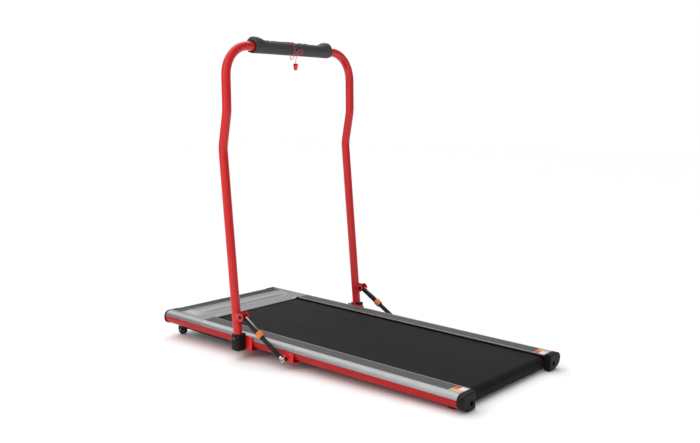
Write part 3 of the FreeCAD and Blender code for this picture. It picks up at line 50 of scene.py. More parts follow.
JOINTS = {joint["name"]: joint for joint in frame["joints"]}
FRONT_AXLE = Vector((0, *JOINTS["front_wheel_spin_left"]["pos_m"][1:]))
DECK_UP = Vector(JOINTS["safety_key_pull"]["axis"])
INCLINE = math.atan2(-DECK_UP.y, DECK_UP.z)
WHEEL_Y = 575.0
WHEEL_Z = 17.5
LEVEL_TO_ROW = (
    Matrix.Translation(FRONT_AXLE)
    @ Matrix.Rotation(INCLINE, 4, "X")
    @ Matrix.Scale(0.001, 4)
    @ Matrix.Translation((0, -WHEEL_Y, -WHEEL_Z))
)
ROW_TO_LEVEL = LEVEL_TO_ROW.inverted()


class LevelBox:
    """A CAD node's lowest and highest corners in the deck frame, in millimetres."""

    def __init__(self, node, side=0):
        points = [ROW_TO_LEVEL @ v.co for v in frame["nodes"][node].data.vertices]
        points = [p for p in points if p.x * side >= 0]
        self.x0, self.y0, self.z0 = (min(p[i] for p in points) for i in range(3))
        self.x1, self.y1, self.z1 = (max(p[i] for p in points) for i in range(3))


RAIL = LevelBox("side_rail_right")
SKIRT = LevelBox("rail_skirt_right")
STRIP = LevelBox("foot_strip_right")
CAP = LevelBox("rear_cap_right")
BELT = LevelBox("running_belt")
COVER = LevelBox("motor_cover")
PANEL = LevelBox("front_panel")
SLEEVE = LevelBox("hinge_sleeves", 1)
WHEEL = LevelBox("front_wheel_right")
PAN = LevelBox("belly_pan")
PAD = LevelBox("console_panel")

DECK_TOP = RAIL.z1
LEG_X = 287.0
TUBE_RADIUS = 14.0
TOP_BAR = Vector((0, 272.0, 968.5))
HINGE = ROW_TO_LEVEL @ Vector(JOINTS["handrail_fold"]["pos_m"])
EAR = ROW_TO_LEVEL @ Vector(JOINTS["strut_swing_right"]["pos_m"])
EYE = Vector((LEG_X, 15.5, 50.0))
LEG_LOW = Vector((LEG_X, 203.6, 44.0))
LEG_KINK = Vector((LEG_X, 280.5, 658.6))
SIDES = (("left", -1), ("right", 1))


# ---- shapes, as meshes in progress in millimetres ----

def block(mesh, low, high, round_by=0.0, segments=3):
    """A box between two corners, its edges rounded."""
    low, high = Vector(low), Vector(high)
    size = Matrix.Diagonal((*(high - low), 1))
    made = bmesh.ops.create_cube(mesh, size=1, matrix=Matrix.Translation((low + high) / 2) @ size)
    if round_by:
        edges = list({e for v in made["verts"] for e in v.link_edges})
        bmesh.ops.bevel(mesh, geom=edges, offset=round_by, segments=segments, profile=0.5,
                        affect="EDGES", material=-1)


def along(start, way):
    """The place that stands +Z along way at start."""
    return Matrix.Translation(start) @ Vector(way).to_track_quat("Z", "Y").to_matrix().to_4x4()


def turned(mesh, profile, start, way, steps=40):
    """A turned shape: (radius, distance) points spun round the line from start along way."""
    way = Vector(way).normalized()
    place = along(start, way)
    verts = [mesh.verts.new(place @ Vector((radius, 0, distance))) for radius, distance in profile]
    edges = [mesh.edges.new(pair) for pair in zip(verts, verts[1:])]
    bmesh.ops.spin(mesh, geom=verts + edges, cent=start, axis=way, angle=math.tau, steps=steps,
                   use_merge=True, use_duplicate=False)


def rod(mesh, start, end, radius, round_by=0.6, steps=32):
    """A round bar with its two rims eased."""
    length = (Vector(end) - Vector(start)).length
    edge_round = radius - round_by
    profile = [(0, 0), (edge_round, 0), (radius - 0.3 * round_by, 0.3 * round_by), (radius, round_by),
               (radius, length - round_by), (radius - 0.3 * round_by, length - 0.3 * round_by),
               (edge_round, length), (0, length)]
    turned(mesh, profile, start, Vector(end) - Vector(start), steps)


def ring(mesh, start, end, radius, bore, round_by=0.5, steps=40):
    """A round bar with a hole through it."""
    length = (Vector(end) - Vector(start)).length
    profile = [(bore, 0), (radius - round_by, 0), (radius, round_by), (radius, length - round_by),
               (radius - round_by, length), (bore, length), (bore, 0)]
    turned(mesh, profile, start, Vector(end) - Vector(start), steps)


def arc(centre, radius, start, end, steps):
    """Points of an arc, angles in degrees from the first axis to the second."""
    turns = [math.radians(start + (end - start) * i / steps) for i in range(steps + 1)]
    return [(centre[0] + radius * math.cos(t), centre[1] + radius * math.sin(t)) for t in turns]


def slab(mesh, outline, move, place=Matrix(), round_by=0.0, segments=2):
    """A flat outline of (a, b) points in place's XY plane, drawn out by move."""
    verts = [mesh.verts.new(place @ Vector((a, b, 0))) for a, b in outline]
    face = mesh.faces.new(verts)
    made = bmesh.ops.extrude_face_region(mesh, geom=[face])["geom"]
    far = [g for g in made if isinstance(g, bmesh.types.BMVert)]
    bmesh.ops.translate(mesh, verts=far, vec=move)
    if round_by:
        rims = [e for v in verts + far for e in v.link_edges]
        rims = [e for e in set(rims) if (e.verts[0] in far) == (e.verts[1] in far)]
        bmesh.ops.bevel(mesh, geom=rims, offset=round_by, segments=segments, profile=0.5,
                        affect="EDGES", material=-1)
    return far


# The plane of a deck section: first axis +X, second axis +Z, drawn out along +Y.
def section_at(y):
    return Matrix.Translation((0, y, 0)) @ Matrix.Rotation(math.radians(90), 4, "X")


# The plane of a side view: first axis +Y, second axis +Z, drawn out along +X.
def side_at(x):
    return Matrix.Translation((x, 0, 0)) @ Matrix(((0, 0, 1, 0), (1, 0, 0, 0), (0, 1, 0, 0), (0, 0, 0, 1)))


def flip(mesh):
    bmesh.ops.scale(mesh, verts=mesh.verts, vec=(-1, 1, 1))


def hexagon(mesh, start, way, across, height, turn=0):
    """A hexagon head with its top rim eased, and a washer face below."""
    place = along(start, way)
    radius = across / math.sqrt(3)
    corners = arc((0, 0), radius, turn, turn + 300, 5)
    verts = [mesh.verts.new(place @ Vector((a, b, 0))) for a, b in corners]
    face = mesh.faces.new(verts)
    made = bmesh.ops.extrude_face_region(mesh, geom=[face])["geom"]
    far = [g for g in made if isinstance(g, bmesh.types.BMVert)]
    bmesh.ops.translate(mesh, verts=far, vec=Vector(way).normalized() * height)
    rims = [e for e in {e for v in far for e in v.link_edges} if e.verts[0] in far and e.verts[1] in far]
    bmesh.ops.bevel(mesh, geom=rims, offset=across * 0.06, segments=2, profile=0.5,
                    affect="EDGES", material=-1)


def piece(name, mesh, finish, body, replaces=(), sharp=32.0):
    """Closes a mesh in progress, places it in the row's frame and puts it on its body."""
    bmesh.ops.remove_doubles(mesh, verts=mesh.verts, dist=0.002)
    bmesh.ops.recalc_face_normals(mesh, faces=mesh.faces)
    bmesh.ops.transform(mesh, matrix=LEVEL_TO_ROW, verts=mesh.verts)
    data = bpy.data.meshes.new(name)
    mesh.to_mesh(data)
    mesh.free()
    for polygon in data.polygons:
        polygon.use_smooth = True
    data.set_sharp_from_angle(angle=math.radians(sharp))
    data.materials.append(finish)
    made = bpy.data.objects.new(name, data)
    bpy.context.scene.collection.objects.link(made)
    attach(made, body)
    if replaces:
        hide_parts(*replaces)
    return made


# ---- finishes ----

def srgb(code):
    """The linear colour of a hex code."""
    parts = [int(code[i:i + 2], 16) / 255 for i in (1, 3, 5)]
    return (*(c / 12.92 if c <= 0.04045 else ((c + 0.055) / 1.055) ** 2.4 for c in parts), 1.0)


def per_mm(size):
    """The texture scale whose features are size millimetres apart."""
    return 1000.0 / size


# A wave texture's bands are a twentieth of a turn apart at scale 1 along an axis, a tenth on a diagonal.
BANDS = math.tau / 20


def finish(name, colour, roughness, **sockets):
    """A material with its constants on the shader; returns it, its node tree and its shader."""
    made = bpy.data.materials.new(name)
    made.use_nodes = True
    shader = made.node_tree.nodes["Principled BSDF"]
    shader.inputs["Base Color"].default_value = srgb(colour)
    shader.inputs["Roughness"].default_value = roughness
    for label, value in sockets.items():
        shader.inputs[label.replace("_", " ").title().replace("Ior", "IOR")].default_value = value
    return made, made.node_tree, shader


def add(tree, kind, settings=None, links=None, **inputs):
    """Adds one node with its settings, input values and input links."""
    made = tree.nodes.new(kind)
    for name, value in (settings or {}).items():
        setattr(made, name, value)
    for name, value in inputs.items():
        made.inputs[name.replace("_", " ")].default_value = value
    for name, source in (links or {}).items():
        tree.links.new(source, made.inputs[name])
    return made


def stretched(tree, scale):
    """Object coordinates, multiplied per axis."""
    place = add(tree, "ShaderNodeTexCoord").outputs["Object"]
    return add(tree, "ShaderNodeMapping", links={"Vector": place}, Scale=scale).outputs["Vector"]


def grain(tree, shader, size, height, depth=3.0, scale=(1, 1, 1), below=None):
    """Bumps the surface by noise whose grains are size mm apart and height mm high."""
    noise = add(tree, "ShaderNodeTexNoise", links={"Vector": stretched(tree, scale)},
                Scale=per_mm(size), Detail=depth, Roughness=0.55)
    links = {"Height": noise.outputs["Fac"]}
    if below:
        links["Normal"] = below
    bump = add(tree, "ShaderNodeBump", links=links, Distance=height / 1000, Strength=1.0)
    tree.links.new(bump.outputs["Normal"], shader.inputs["Normal"])
    return noise.outputs["Fac"], bump.outputs["Normal"]


def mottle(tree, shader, socket, source, low, high, start=0.35, end=0.65):
    """Turns a pattern into a range on a socket: colours as hex codes, numbers as they are."""
    blend = add(tree, "ShaderNodeValToRGB", links={"Fac": source})
    ends = blend.color_ramp.elements
    ends[0].position, ends[1].position = start, end
    for stop, value in zip(ends, (low, high)):
        stop.color = srgb(value) if isinstance(value, str) else (value, value, value, 1)
    tree.links.new(blend.outputs["Color"], shader.inputs[socket])


def gloss_powder_coat():
    """Gloss polyester powder coat: deep red, a hard highlight and faint orange peel."""
    made, tree, shader = finish("gloss_red_powder_coat", "#CC1416", 0.3, specular_ior_level=0.35, coat_weight=0.2,
                                coat_roughness=0.14)
    shade, _ = grain(tree, shader, 2.4, 0.012, 1.0)
    mottle(tree, shader, "Base Color", shade, "#C61214", "#D2191A")
    return made


def satin_skirt_enamel():
    """Satin baked enamel on the rolled skirt: duller red with fine lengthwise rolling lines."""
    made, tree, shader = finish("satin_red_enamel", "#AE1A1D", 0.5, specular_ior_level=0.18)
    shade, _ = grain(tree, shader, 1.1, 0.02, 2.0, (1, 0.02, 1))
    mottle(tree, shader, "Base Color", shade, "#A4171A", "#B71E21")
    mottle(tree, shader, "Roughness", shade, 0.38, 0.46)
    return made


def anodised_aluminium():
    """Natural anodised extrusion: soft grey metal with fine die lines along its length."""
    made, tree, shader = finish("anodised_aluminium", "#A0A0A1", 0.46, metallic=0.85)
    shade, _ = grain(tree, shader, 0.9, 0.01, 3.0, (1, 0.012, 1))
    mottle(tree, shader, "Base Color", shade, "#979798", "#A9A9AA")
    mottle(tree, shader, "Roughness", shade, 0.42, 0.52)
    return made


def silver_lacquer():
    """Silver lacquer on moulded ABS: fine metal flake under a satin clear coat."""
    made, tree, shader = finish("silver_lacquer", "#A6A6A7", 0.42, metallic=0.7, coat_weight=0.25,
                                coat_roughness=0.3)
    flake = add(tree, "ShaderNodeTexVoronoi", links={"Vector": stretched(tree, (1, 1, 1))}, Scale=per_mm(0.8))
    mottle(tree, shader, "Base Color", flake.outputs["Distance"], "#9C9C9D", "#8C8C8D", 0.1, 0.7)
    grain(tree, shader, 0.8, 0.006, 2.0)
    return made


def ribbed_tread():
    """Grey moulded vinyl strip: fine lengthwise ribs 2.4 mm apart and a pebbled skin."""
    made, tree, shader = finish("grey_vinyl_tread", "#505151", 0.62, specular_ior_level=0.3)
    ribs = add(tree, "ShaderNodeTexWave", {"wave_type": "BANDS", "bands_direction": "X", "wave_profile": "SIN"},
               {"Vector": stretched(tree, (1, 1, 1))}, Scale=per_mm(2.4) * BANDS, Distortion=0.0, Detail=0.0)
    low = add(tree, "ShaderNodeBump", links={"Height": ribs.outputs["Fac"]}, Distance=0.00025, Strength=0.8)
    shade, _ = grain(tree, shader, 0.9, 0.05, 3.0, below=low.outputs["Normal"])
    mottle(tree, shader, "Base Color", shade, "#494A4A", "#585959")
    return made


def woven_belt():
    """PVC-faced running belt: near-black diamond emboss, really 2 mm apart and drawn at 4 mm so that it shows, matt."""
    made, tree, shader = finish("pvc_running_belt", "#141415", 0.74, specular_ior_level=0.12)
    turn = add(tree, "ShaderNodeMapping", links={"Vector": stretched(tree, (1, 1, 1))},
               Rotation=(0, 0, math.radians(45))).outputs["Vector"]
    bands = [
        add(tree, "ShaderNodeTexWave", {"wave_type": "BANDS", "bands_direction": way, "wave_profile": "SIN"},
            {"Vector": turn}, Scale=per_mm(4.0) * BANDS, Distortion=0.0, Detail=0.0).outputs["Fac"]
        for way in ("X", "Y")
    ]
    emboss = add(tree, "ShaderNodeMath", {"operation": "MULTIPLY"})
    for socket, source in zip(emboss.inputs, bands):
        tree.links.new(source, socket)
    low = add(tree, "ShaderNodeBump", links={"Height": emboss.outputs[0]}, Distance=0.00022, Strength=0.9)
    shade, _ = grain(tree, shader, 0.7, 0.04, 2.0, below=low.outputs["Normal"])
    wear = add(tree, "ShaderNodeTexNoise", links={"Vector": stretched(tree, (1, 0.15, 1))},
               Scale=per_mm(90), Detail=4.0)
    mottle(tree, shader, "Base Color", wear.outputs["Fac"], "#131314", "#1A1A1B")
    mottle(tree, shader, "Roughness", shade, 0.6, 0.72)
    return made


def moulded_black(name="textured_black_abs", colour="#111112", roughness=0.55, size=0.8, height=0.05):
    """Black ABS moulded in a spark-eroded tool: even fine pebble, soft broad highlight."""
    made, tree, shader = finish(name, colour, roughness, specular_ior_level=0.18)
    shade, _ = grain(tree, shader, size, height, 3.0)
    mottle(tree, shader, "Roughness", shade, roughness - 0.06, roughness + 0.06)
    return made


def piano_black():
    """Black acrylic trim: dark smoky grey, semi-gloss, with a little ripple."""
    made, tree, shader = finish("gloss_black_trim", "#232425", 0.3, specular_ior_level=0.3)
    shade, _ = grain(tree, shader, 30, 0.02, 1.0)
    mottle(tree, shader, "Roughness", shade, 0.26, 0.34)
    return made


def soft_touch_grey():
    """Charcoal rubber-feel coating over the console: speckled and nearly matt."""
    made, tree, shader = finish("charcoal_soft_touch", "#3A3B3D", 0.6)
    shade, _ = grain(tree, shader, 0.9, 0.07, 4.0)
    mottle(tree, shader, "Base Color", shade, "#2D2E30", "#3D3E40", 0.3, 0.7)
    return made


def orange_nylon():
    """Glass-filled nylon grip: orange, satin, with faint flow marks along the ring."""
    made, tree, shader = finish("orange_nylon", "#D9701F", 0.42)
    shade, _ = grain(tree, shader, 1.6, 0.03, 3.0)
    mottle(tree, shader, "Base Color", shade, "#D0681A", "#E2792A")
    return made


def satin_black_steel():
    """Satin black powder coat on steel: fine peel."""
    made, tree, shader = finish("satin_black_powder_coat", "#0E0E0F", 0.45, specular_ior_level=0.25)
    shade, _ = grain(tree, shader, 1.4, 0.02, 2.0)
    mottle(tree, shader, "Base Color", shade, "#0B0B0C", "#131314")
    return made


def turned_steel():
    """Bright drawn and turned steel: sharp highlights broken by fine tool lines."""
    made, tree, shader = finish("turned_steel", "#C4C4C2", 0.28, metallic=1.0)
    shade, _ = grain(tree, shader, 0.5, 0.01, 2.0, (0.1, 1, 1))
    mottle(tree, shader, "Roughness", shade, 0.2, 0.36)
    return made


def zinc_plate():
    """Bright zinc plate on fasteners: bluish grey metal, slightly cloudy."""
    made, tree, shader = finish("zinc_plate", "#B3B6BA", 0.34, metallic=1.0)
    shade, _ = grain(tree, shader, 1.5, 0.01, 3.0)
    mottle(tree, shader, "Roughness", shade, 0.26, 0.44)
    return made


def red_beam_with_painted_shade():
    """Red beam paint inside the rails, darkened to nearly black as painted shade for the gap beside the belt: dull and
    chalky.
    """
    # The near-black red is painted shade for the shadowed gap beside the belt; the beams themselves are red.
    made, tree, shader = finish("red_beam_painted_shade", "#3C0E10", 0.8, specular_ior_level=0.1)
    shade, _ = grain(tree, shader, 1.6, 0.03, 3.0)
    mottle(tree, shader, "Base Color", shade, "#330B0D", "#461214")
    return made


def moulded_rubber():
    """Black nitrile rubber: matt, with a dusty bloom."""
    made, tree, shader = finish("black_rubber", "#1B1B1B", 0.8)
    shade, _ = grain(tree, shader, 1.0, 0.06, 4.0)
    mottle(tree, shader, "Base Color", shade, "#171717", "#242423")
    return made


def fibreboard():
    """Pressed fibreboard with a waxed face: warm brown, short fibres."""
    made, tree, shader = finish("waxed_fibreboard", "#6F5840", 0.58)
    shade, _ = grain(tree, shader, 1.3, 0.04, 5.0, (1, 0.4, 1))
    mottle(tree, shader, "Base Color", shade, "#5E4A35", "#80684B")
    return made


def solder_mask():
    """Green solder mask over copper: glossy, darker where tracks run below."""
    made, tree, shader = finish("green_solder_mask", "#1F5A33", 0.3)
    tracks = add(tree, "ShaderNodeTexVoronoi", {"distance": "MANHATTAN"},
                 {"Vector": stretched(tree, (1, 1, 1))}, Scale=per_mm(5.0))
    mottle(tree, shader, "Base Color", tracks.outputs["Distance"], "#17482A", "#2B6B3F", 0.2, 0.6)
    return made


def red_abs():
    """Gloss red ABS of the safety key: saturated, smooth, with slight sink ripple."""
    made, tree, shader = finish("gloss_red_abs", "#E2262C", 0.3)
    grain(tree, shader, 6.0, 0.03, 1.0)
    return made


def braided_cord():
    """Braided polyester cord: strands really 0.6 mm apart, drawn at 1.6 mm so that they show."""
    made, tree, shader = finish("red_braided_cord", "#B51E20", 0.7, sheen_weight=0.2)
    strands = add(tree, "ShaderNodeTexWave", {"wave_type": "BANDS", "bands_direction": "DIAGONAL"},
                  {"Vector": stretched(tree, (1, 1, 1))}, Scale=per_mm(1.6) * BANDS / 2, Distortion=1.0)
    bump = add(tree, "ShaderNodeBump", links={"Height": strands.outputs["Fac"]}, Distance=0.00025, Strength=0.8)
    tree.links.new(bump.outputs["Normal"], shader.inputs["Normal"])
    # Colour follows the strand bump, darker in the grooves and lighter on the crowns: painted shade and painted
    # highlight.
    mottle(tree, shader, "Base Color", strands.outputs["Fac"], "#C01A1E", "#EE3838", 0.2, 0.8)
    return made


def printed_vinyl(name, colour):
    """Printed vinyl label: flat ink under a satin film, with a faint paper tooth."""
    made, tree, shader = finish(name, colour, 0.4)
    grain(tree, shader, 1.2, 0.01, 2.0)
    return made


def studio_floor():
    """Matt white paper sweep with barely visible fibre."""
    made, tree, shader = finish("white_paper", "#FFFFFF", 0.9)
    grain(tree, shader, 4.0, 0.05, 3.0)
    return made


RED_GLOSS = gloss_powder_coat()
RED_SATIN = satin_skirt_enamel()
ALUMINIUM = anodised_aluminium()
SILVER = silver_lacquer()
TREAD = ribbed_tread()
BELT_FACE = woven_belt()
BLACK_ABS = moulded_black()
WHEEL_PU = moulded_black("black_polyurethane", "#202021", 0.42, 1.2, 0.03)
BUTTON_GREY = moulded_black("grey_silicone_keys", "#55585B", 0.55, 0.6, 0.02)
TRIM = piano_black()
CHARCOAL = soft_touch_grey()
ORANGE = orange_nylon()
BLACK_STEEL = satin_black_steel()
STEEL = turned_steel()
ZINC = zinc_plate()
RED_BEAM_PAINTED_SHADE = red_beam_with_painted_shade()
RUBBER = moulded_rubber()
FIBREBOARD = fibreboard()
CIRCUIT = solder_mask()
RED_ABS = red_abs()
CORD_RED = braided_cord()
LABEL_WHITE = printed_vinyl("white_vinyl", "#E4E4E2")
LABEL_RED = printed_vinyl("red_vinyl", "#D9444A")
LABEL_YELLOW = printed_vinyl("yellow_vinyl", "#C8BE3C")
LABEL_PEACH = printed_vinyl("peach_vinyl", "#E3B79B")
TEAL = printed_vinyl("teal_readout", "#3FBFA5")

NODE_FINISH = {
    "side_rail": ALUMINIUM, "rail_skirt": RED_SATIN, "foot_strip": TREAD, "rear_cap": BLACK_ABS,
    # The base beams take the red darkened by painted shade.
    "front_caps": BLACK_ABS, "base_beams": RED_BEAM_PAINTED_SHADE, "cross_members": BLACK_STEEL,
    "deck_board": FIBREBOARD, "deck_cushions": RUBBER, "running_belt": BELT_FACE,
    "rear_roller": STEEL, "front_roller": STEEL, "tension_bolts": ZINC, "drive_pulley": ZINC,
    "drive_belt": RUBBER, "motor": BLACK_STEEL, "motor_pulley": STEEL, "motor_bracket": ZINC,
    "control_board": CIRCUIT, "motor_cover": SILVER, "front_panel": TRIM, "belly_pan": BLACK_ABS,
    "pan_screws": ZINC, "power_inlet": BLACK_ABS, "power_rocker": TRIM, "front_wheel": WHEEL_PU,
    "wheel_brackets": BLACK_STEEL, "rear_feet": RUBBER, "hinge_brackets": RED_GLOSS,
    "strut_brackets": RED_GLOSS, "hinge_studs": ZINC, "bracket_bolts": ZINC,
    "handrail_tube": RED_GLOSS, "hinge_sleeves": BLACK_ABS, "strut_ears": RED_GLOSS,
    "ear_bolts": BLACK_STEEL, "strut_shroud": BLACK_STEEL, "lock_collar": ORANGE,
    "strut_cylinder": BLACK_STEEL, "console": CHARCOAL, "console_panel": TRIM,
    "console_board": CIRCUIT, "button": BUTTON_GREY, "safety_key": RED_ABS,
    "safety_cord": CORD_RED, "key_clip": RED_ABS,
}


def dress_nodes():
    """Gives every CAD node the finish whose name is the longest start of its own."""
    for name, node in frame["nodes"].items():
        start = max((s for s in NODE_FINISH if name.startswith(s)), key=len)
        for slot in node.material_slots:
            slot.material = NODE_FINISH[start]


# ---- motor cover and trim ----

SHOULDER_RADIUS = 18.0
SHOULDER_X = RAIL.x1 - SHOULDER_RADIUS
SHOULDER_Z = DECK_TOP - SHOULDER_RADIUS
COVER_LOW_Z = RAIL.z0
COVER_LIP_Y = COVER.y0 + 9.5
RIDGE_REAR = COVER.y1 - 117.5
RIDGE_FRONT = COVER.y1 - 48.5
RIDGE_HEIGHT = COVER.z1 - DECK_TOP
RIDGE_HALF = SHOULDER_X - 20.0
VALLEY_Y = RIDGE_REAR - 2.0
VALLEY_DEPTH = 2.2
LIP_DROP = 4.9
COVER_STEPS = 58


def ease(value, low, high):
    """A smooth step from 0 at low to 1 at high."""
    t = min(max((value - low) / (high - low), 0), 1)
    return t * t * (3 - 2 * t)


def cover_swell(x, y):
    """How far the cover's top stands off the deck: a rounded ridge and a shallow valley behind it."""
    across = 1 - ease(abs(x), RIDGE_HALF - 16, RIDGE_HALF)
    t = (y - RIDGE_REAR) / (RIDGE_FRONT - RIDGE_REAR)
    ridge = (1 - abs(2 * t - 1) ** 3.2) ** 1.2 if 0 < t < 1 else 0.0
    valley = math.exp(-((y - VALLEY_Y) / 7.0) ** 2) * (1 - ease(abs(x), 170, 200))
    lip = LIP_DROP * (1 - ease(y, COVER_LIP_Y, COVER_LIP_Y + 9.0)) * (1 - ease(abs(x), 188, 203))
    return RIDGE_HEIGHT * ridge * across - VALLEY_DEPTH * valley - lip


def cover_shell():
    """Silver cover over the motor: rounded sides, swollen ridge, a lip over the belt and a front wall."""
    mesh = bmesh.new()
    low = math.degrees(math.asin((COVER_LOW_Z - SHOULDER_Z) / SHOULDER_RADIUS))
    half = arc((SHOULDER_X, SHOULDER_Z), SHOULDER_RADIUS, low, 90, 10)
    half += [(SHOULDER_X * i / 44, DECK_TOP) for i in range(43, 0, -1)]
    outline = half + [(0, DECK_TOP)] + [(-x, z) for x, z in reversed(half)]
    verts = [mesh.verts.new((x, COVER.y0, z)) for x, z in outline]
    edges = [mesh.edges.new(pair) for pair in zip(verts, verts[1:])]
    for _ in range(COVER_STEPS):
        made = bmesh.ops.extrude_edge_only(mesh, edges=edges)["geom"]
        moved = [g for g in made if isinstance(g, bmesh.types.BMVert)]
        edges = [g for g in made if isinstance(g, bmesh.types.BMEdge)]
        edges = [e for e in edges if e.verts[0] in moved and e.verts[1] in moved]
        bmesh.ops.translate(mesh, verts=moved, vec=(0, (COVER.y1 - COVER.y0) / COVER_STEPS, 0))
    hidden = [f for f in mesh.faces
              if abs(f.calc_center_median().x) < RAIL.x0 and f.calc_center_median().y < COVER_LIP_Y]
    bmesh.ops.delete(mesh, geom=hidden, context="FACES")
    for vert in mesh.verts:
        if abs(vert.co.x) < SHOULDER_X:
            vert.co.z += cover_swell(vert.co.x, vert.co.y)
    bmesh.ops.recalc_face_normals(mesh, faces=mesh.faces)
    if sum(f.normal.z * f.calc_area() for f in mesh.faces) < 0:
        bmesh.ops.reverse_faces(mesh, faces=mesh.faces)
    bmesh.ops.solidify(mesh, geom=mesh.faces[:], thickness=2.2)
    block(mesh, (-SKIRT.x0, COVER.y1 - 2.4, COVER.z0), (SKIRT.x0, COVER.y1, DECK_TOP - 2), 0.8)
    piece("cover_shell", mesh, SILVER, "deck", ["motor_cover"], sharp=40)


def rounded_corners(box, radius):
    """The corner-rounded outline of a box seen from above."""
    points = []
    for x, y, start in ((box.x1 - radius, box.y1 - radius, 0), (box.x0 + radius, box.y1 - radius, 90),
                        (box.x0 + radius, box.y0 + radius, 180), (box.x1 - radius, box.y0 + radius, 270)):
        points += arc((x, y), radius, start, start + 90, 5)
    return points


def trim_panel():
    """Gloss strip in front of the ridge, with rounded corners and an eased rim."""
    mesh = bmesh.new()
    place = Matrix.Translation((0, 0, PANEL.z0))
    slab(mesh, rounded_corners(PANEL, 4.0), Vector((0, 0, PANEL.z1 - PANEL.z0 + 0.25)), place, 0.4)
    piece("trim_panel", mesh, TRIM, "deck", ["front_panel"])


# ---- labels and cap details ----

LABEL_INSET = 1.0
LABEL_LENGTH = 38.0


def strip_labels():
    """Plain colour blocks on the rear end of each foot strip, in place of printed labels."""
    rear = STRIP.y0 + LABEL_INSET
    front = rear + LABEL_LENGTH
    inner = STRIP.x0 + LABEL_INSET
    outer = STRIP.x1 - LABEL_INSET
    split = inner + 0.57 * (outer - inner)
    blocks = (
        ("white", LABEL_WHITE, inner, split, rear, rear + 20),
        ("red", LABEL_RED, inner, split, rear + 20, front),
        ("peach", LABEL_PEACH, split, outer, rear, rear + 24),
        ("yellow", LABEL_YELLOW, split, outer, rear + 24, front),
    )
    for word, side in SIDES:
        for colour, vinyl, x0, x1, y0, y1 in blocks:
            mesh = bmesh.new()
            block(mesh, (x0, y0, STRIP.z1 - 0.05), (x1, y1, STRIP.z1 + 0.16), 0.08, 1)
            if side < 0:
                flip(mesh)
            piece(f"label_{colour}_{word}", mesh, vinyl, "deck", sharp=60)


CAP_HOLE = Vector((225.5, CAP.y0, 59.6))


def cap_rims():
    """Raised rim round the adjuster hole on each rear cap."""
    for word, side in SIDES:
        mesh = bmesh.new()
        ring(mesh, CAP_HOLE - Vector((0, 0.5, 0)), CAP_HOLE + Vector((0, 3, 0)), 8.8, 7.25, 0.5)
        if side < 0:
            flip(mesh)
        piece(f"cap_rim_{word}", mesh, BLACK_ABS, "deck")


def rail_section(grow):
    """The closed outline of a rail's section, grown outwards by grow."""
    outline = [(RAIL.x0 + 11, DECK_TOP + grow)]
    outline += arc((SHOULDER_X, SHOULDER_Z), SHOULDER_RADIUS + grow, 90, 0, 12)
    outline += arc((SKIRT.x1 - 20, SKIRT.z0 + 20), 20 + grow, 0, -90, 12)
    return outline + [(RAIL.x0 + 11, SKIRT.z0 - grow)]


def front_end_rims():
    """Black moulded rims that close the rails' front ends, a little proud all round."""
    front = LevelBox("front_caps", 1).y1
    for word, side in SIDES:
        mesh = bmesh.new()
        slab(mesh, rail_section(0.55), Vector((0, 7.5, 0)), section_at(front - 7.5), 0.9, 3)
        if side < 0:
            flip(mesh)
        piece(f"front_end_rim_{word}", mesh, BLACK_ABS, "deck", ["front_caps"], sharp=50)


def side_seams():
    """Dark shadow gap where each rail's extrusion meets the moulded cover."""
    joint = (RAIL.y1 + COVER.y0) / 2
    for word, side in SIDES:
        mesh = bmesh.new()
        upper = [p for p in rail_section(0.12) if p[1] > RAIL.z0]
        slab(mesh, upper + [(RAIL.x0 + 11, RAIL.z0)], Vector((0, 1.1, 0)), section_at(joint - 0.55))
        if side < 0:
            flip(mesh)
        piece(f"side_seam_{word}", mesh, RUBBER, "deck")


def rail_lips():
    """Bright rolled lip along the inner edge of each rail, beside the belt."""
    for word, side in SIDES:
        mesh = bmesh.new()
        block(mesh, (RAIL.x0 - 0.6, RAIL.y0, DECK_TOP - 3.6), (STRIP.x0 + 0.2, RAIL.y1, DECK_TOP + 0.15), 0.7)
        if side < 0:
            flip(mesh)
        piece(f"rail_lip_{word}", mesh, ALUMINIUM, "deck")


# ---- wheels, feet and tray ----

def front_wheels():
    """Black polyurethane tread with three grooves on a dished hub."""
    for word, side in SIDES:
        mesh = bmesh.new()
        width = WHEEL.x1 - WHEEL.x0
        radius = WHEEL_Z
        rim = [(3.2, 0.8), (6.0, 0.8), (6.6, 2.2), (12.0, 2.2), (12.8, 0.5), (radius - 1.6, 0.0),
               (radius - 0.4, 0.5), (radius, 1.6)]
        for groove in (0.3, 0.5, 0.7):
            middle = width * groove
            rim += [(radius, middle - 0.7), (radius - 0.8, middle - 0.4), (radius - 0.8, middle + 0.4),
                    (radius, middle + 0.7)]
        rim += [(r, width - d) for r, d in reversed(rim[:8])] + [(3.2, 0.8)]
        turned(mesh, rim, Vector((WHEEL.x0, WHEEL_Y, WHEEL_Z)), (1, 0, 0), 56)
        if side < 0:
            flip(mesh)
        piece(f"wheel_{word}", mesh, WHEEL_PU, f"front_wheel_{word}", [f"front_wheel_{word}"])


def wheel_bolts():
    """Small domed rivet heads on the outer ends of the wheel axles."""
    fork = LevelBox("wheel_brackets", 1)
    for word, side in SIDES:
        mesh = bmesh.new()
        dome = [(0, 1.1), (1.2, 1.0), (1.9, 0.5), (2.2, -0.2), (2.2, -1.8), (0, -1.8)]
        turned(mesh, dome, Vector((fork.x1, WHEEL_Y, WHEEL_Z)), (1, 0, 0), 32)
        if side < 0:
            flip(mesh)
        piece(f"wheel_bolt_{word}", mesh, ZINC, "deck")


def foot_rings():
    """Moulded grip rings round each rear rubber foot."""
    foot = LevelBox("rear_feet", 1)
    middle = Vector(((foot.x0 + foot.x1) / 2, (foot.y0 + foot.y1) / 2, 0))
    radius = (foot.x1 - foot.x0) / 2
    for word, side in SIDES:
        mesh = bmesh.new()
        for height in (1.6, 4.2, 6.8):
            start = middle + Vector((0, 0, foot.z0 + height))
            ring(mesh, start, start + Vector((0, 0, 1.3)), radius + 0.7, radius - 0.5, 0.4)
        if side < 0:
            flip(mesh)
        piece(f"foot_rings_{word}", mesh, RUBBER, "deck")


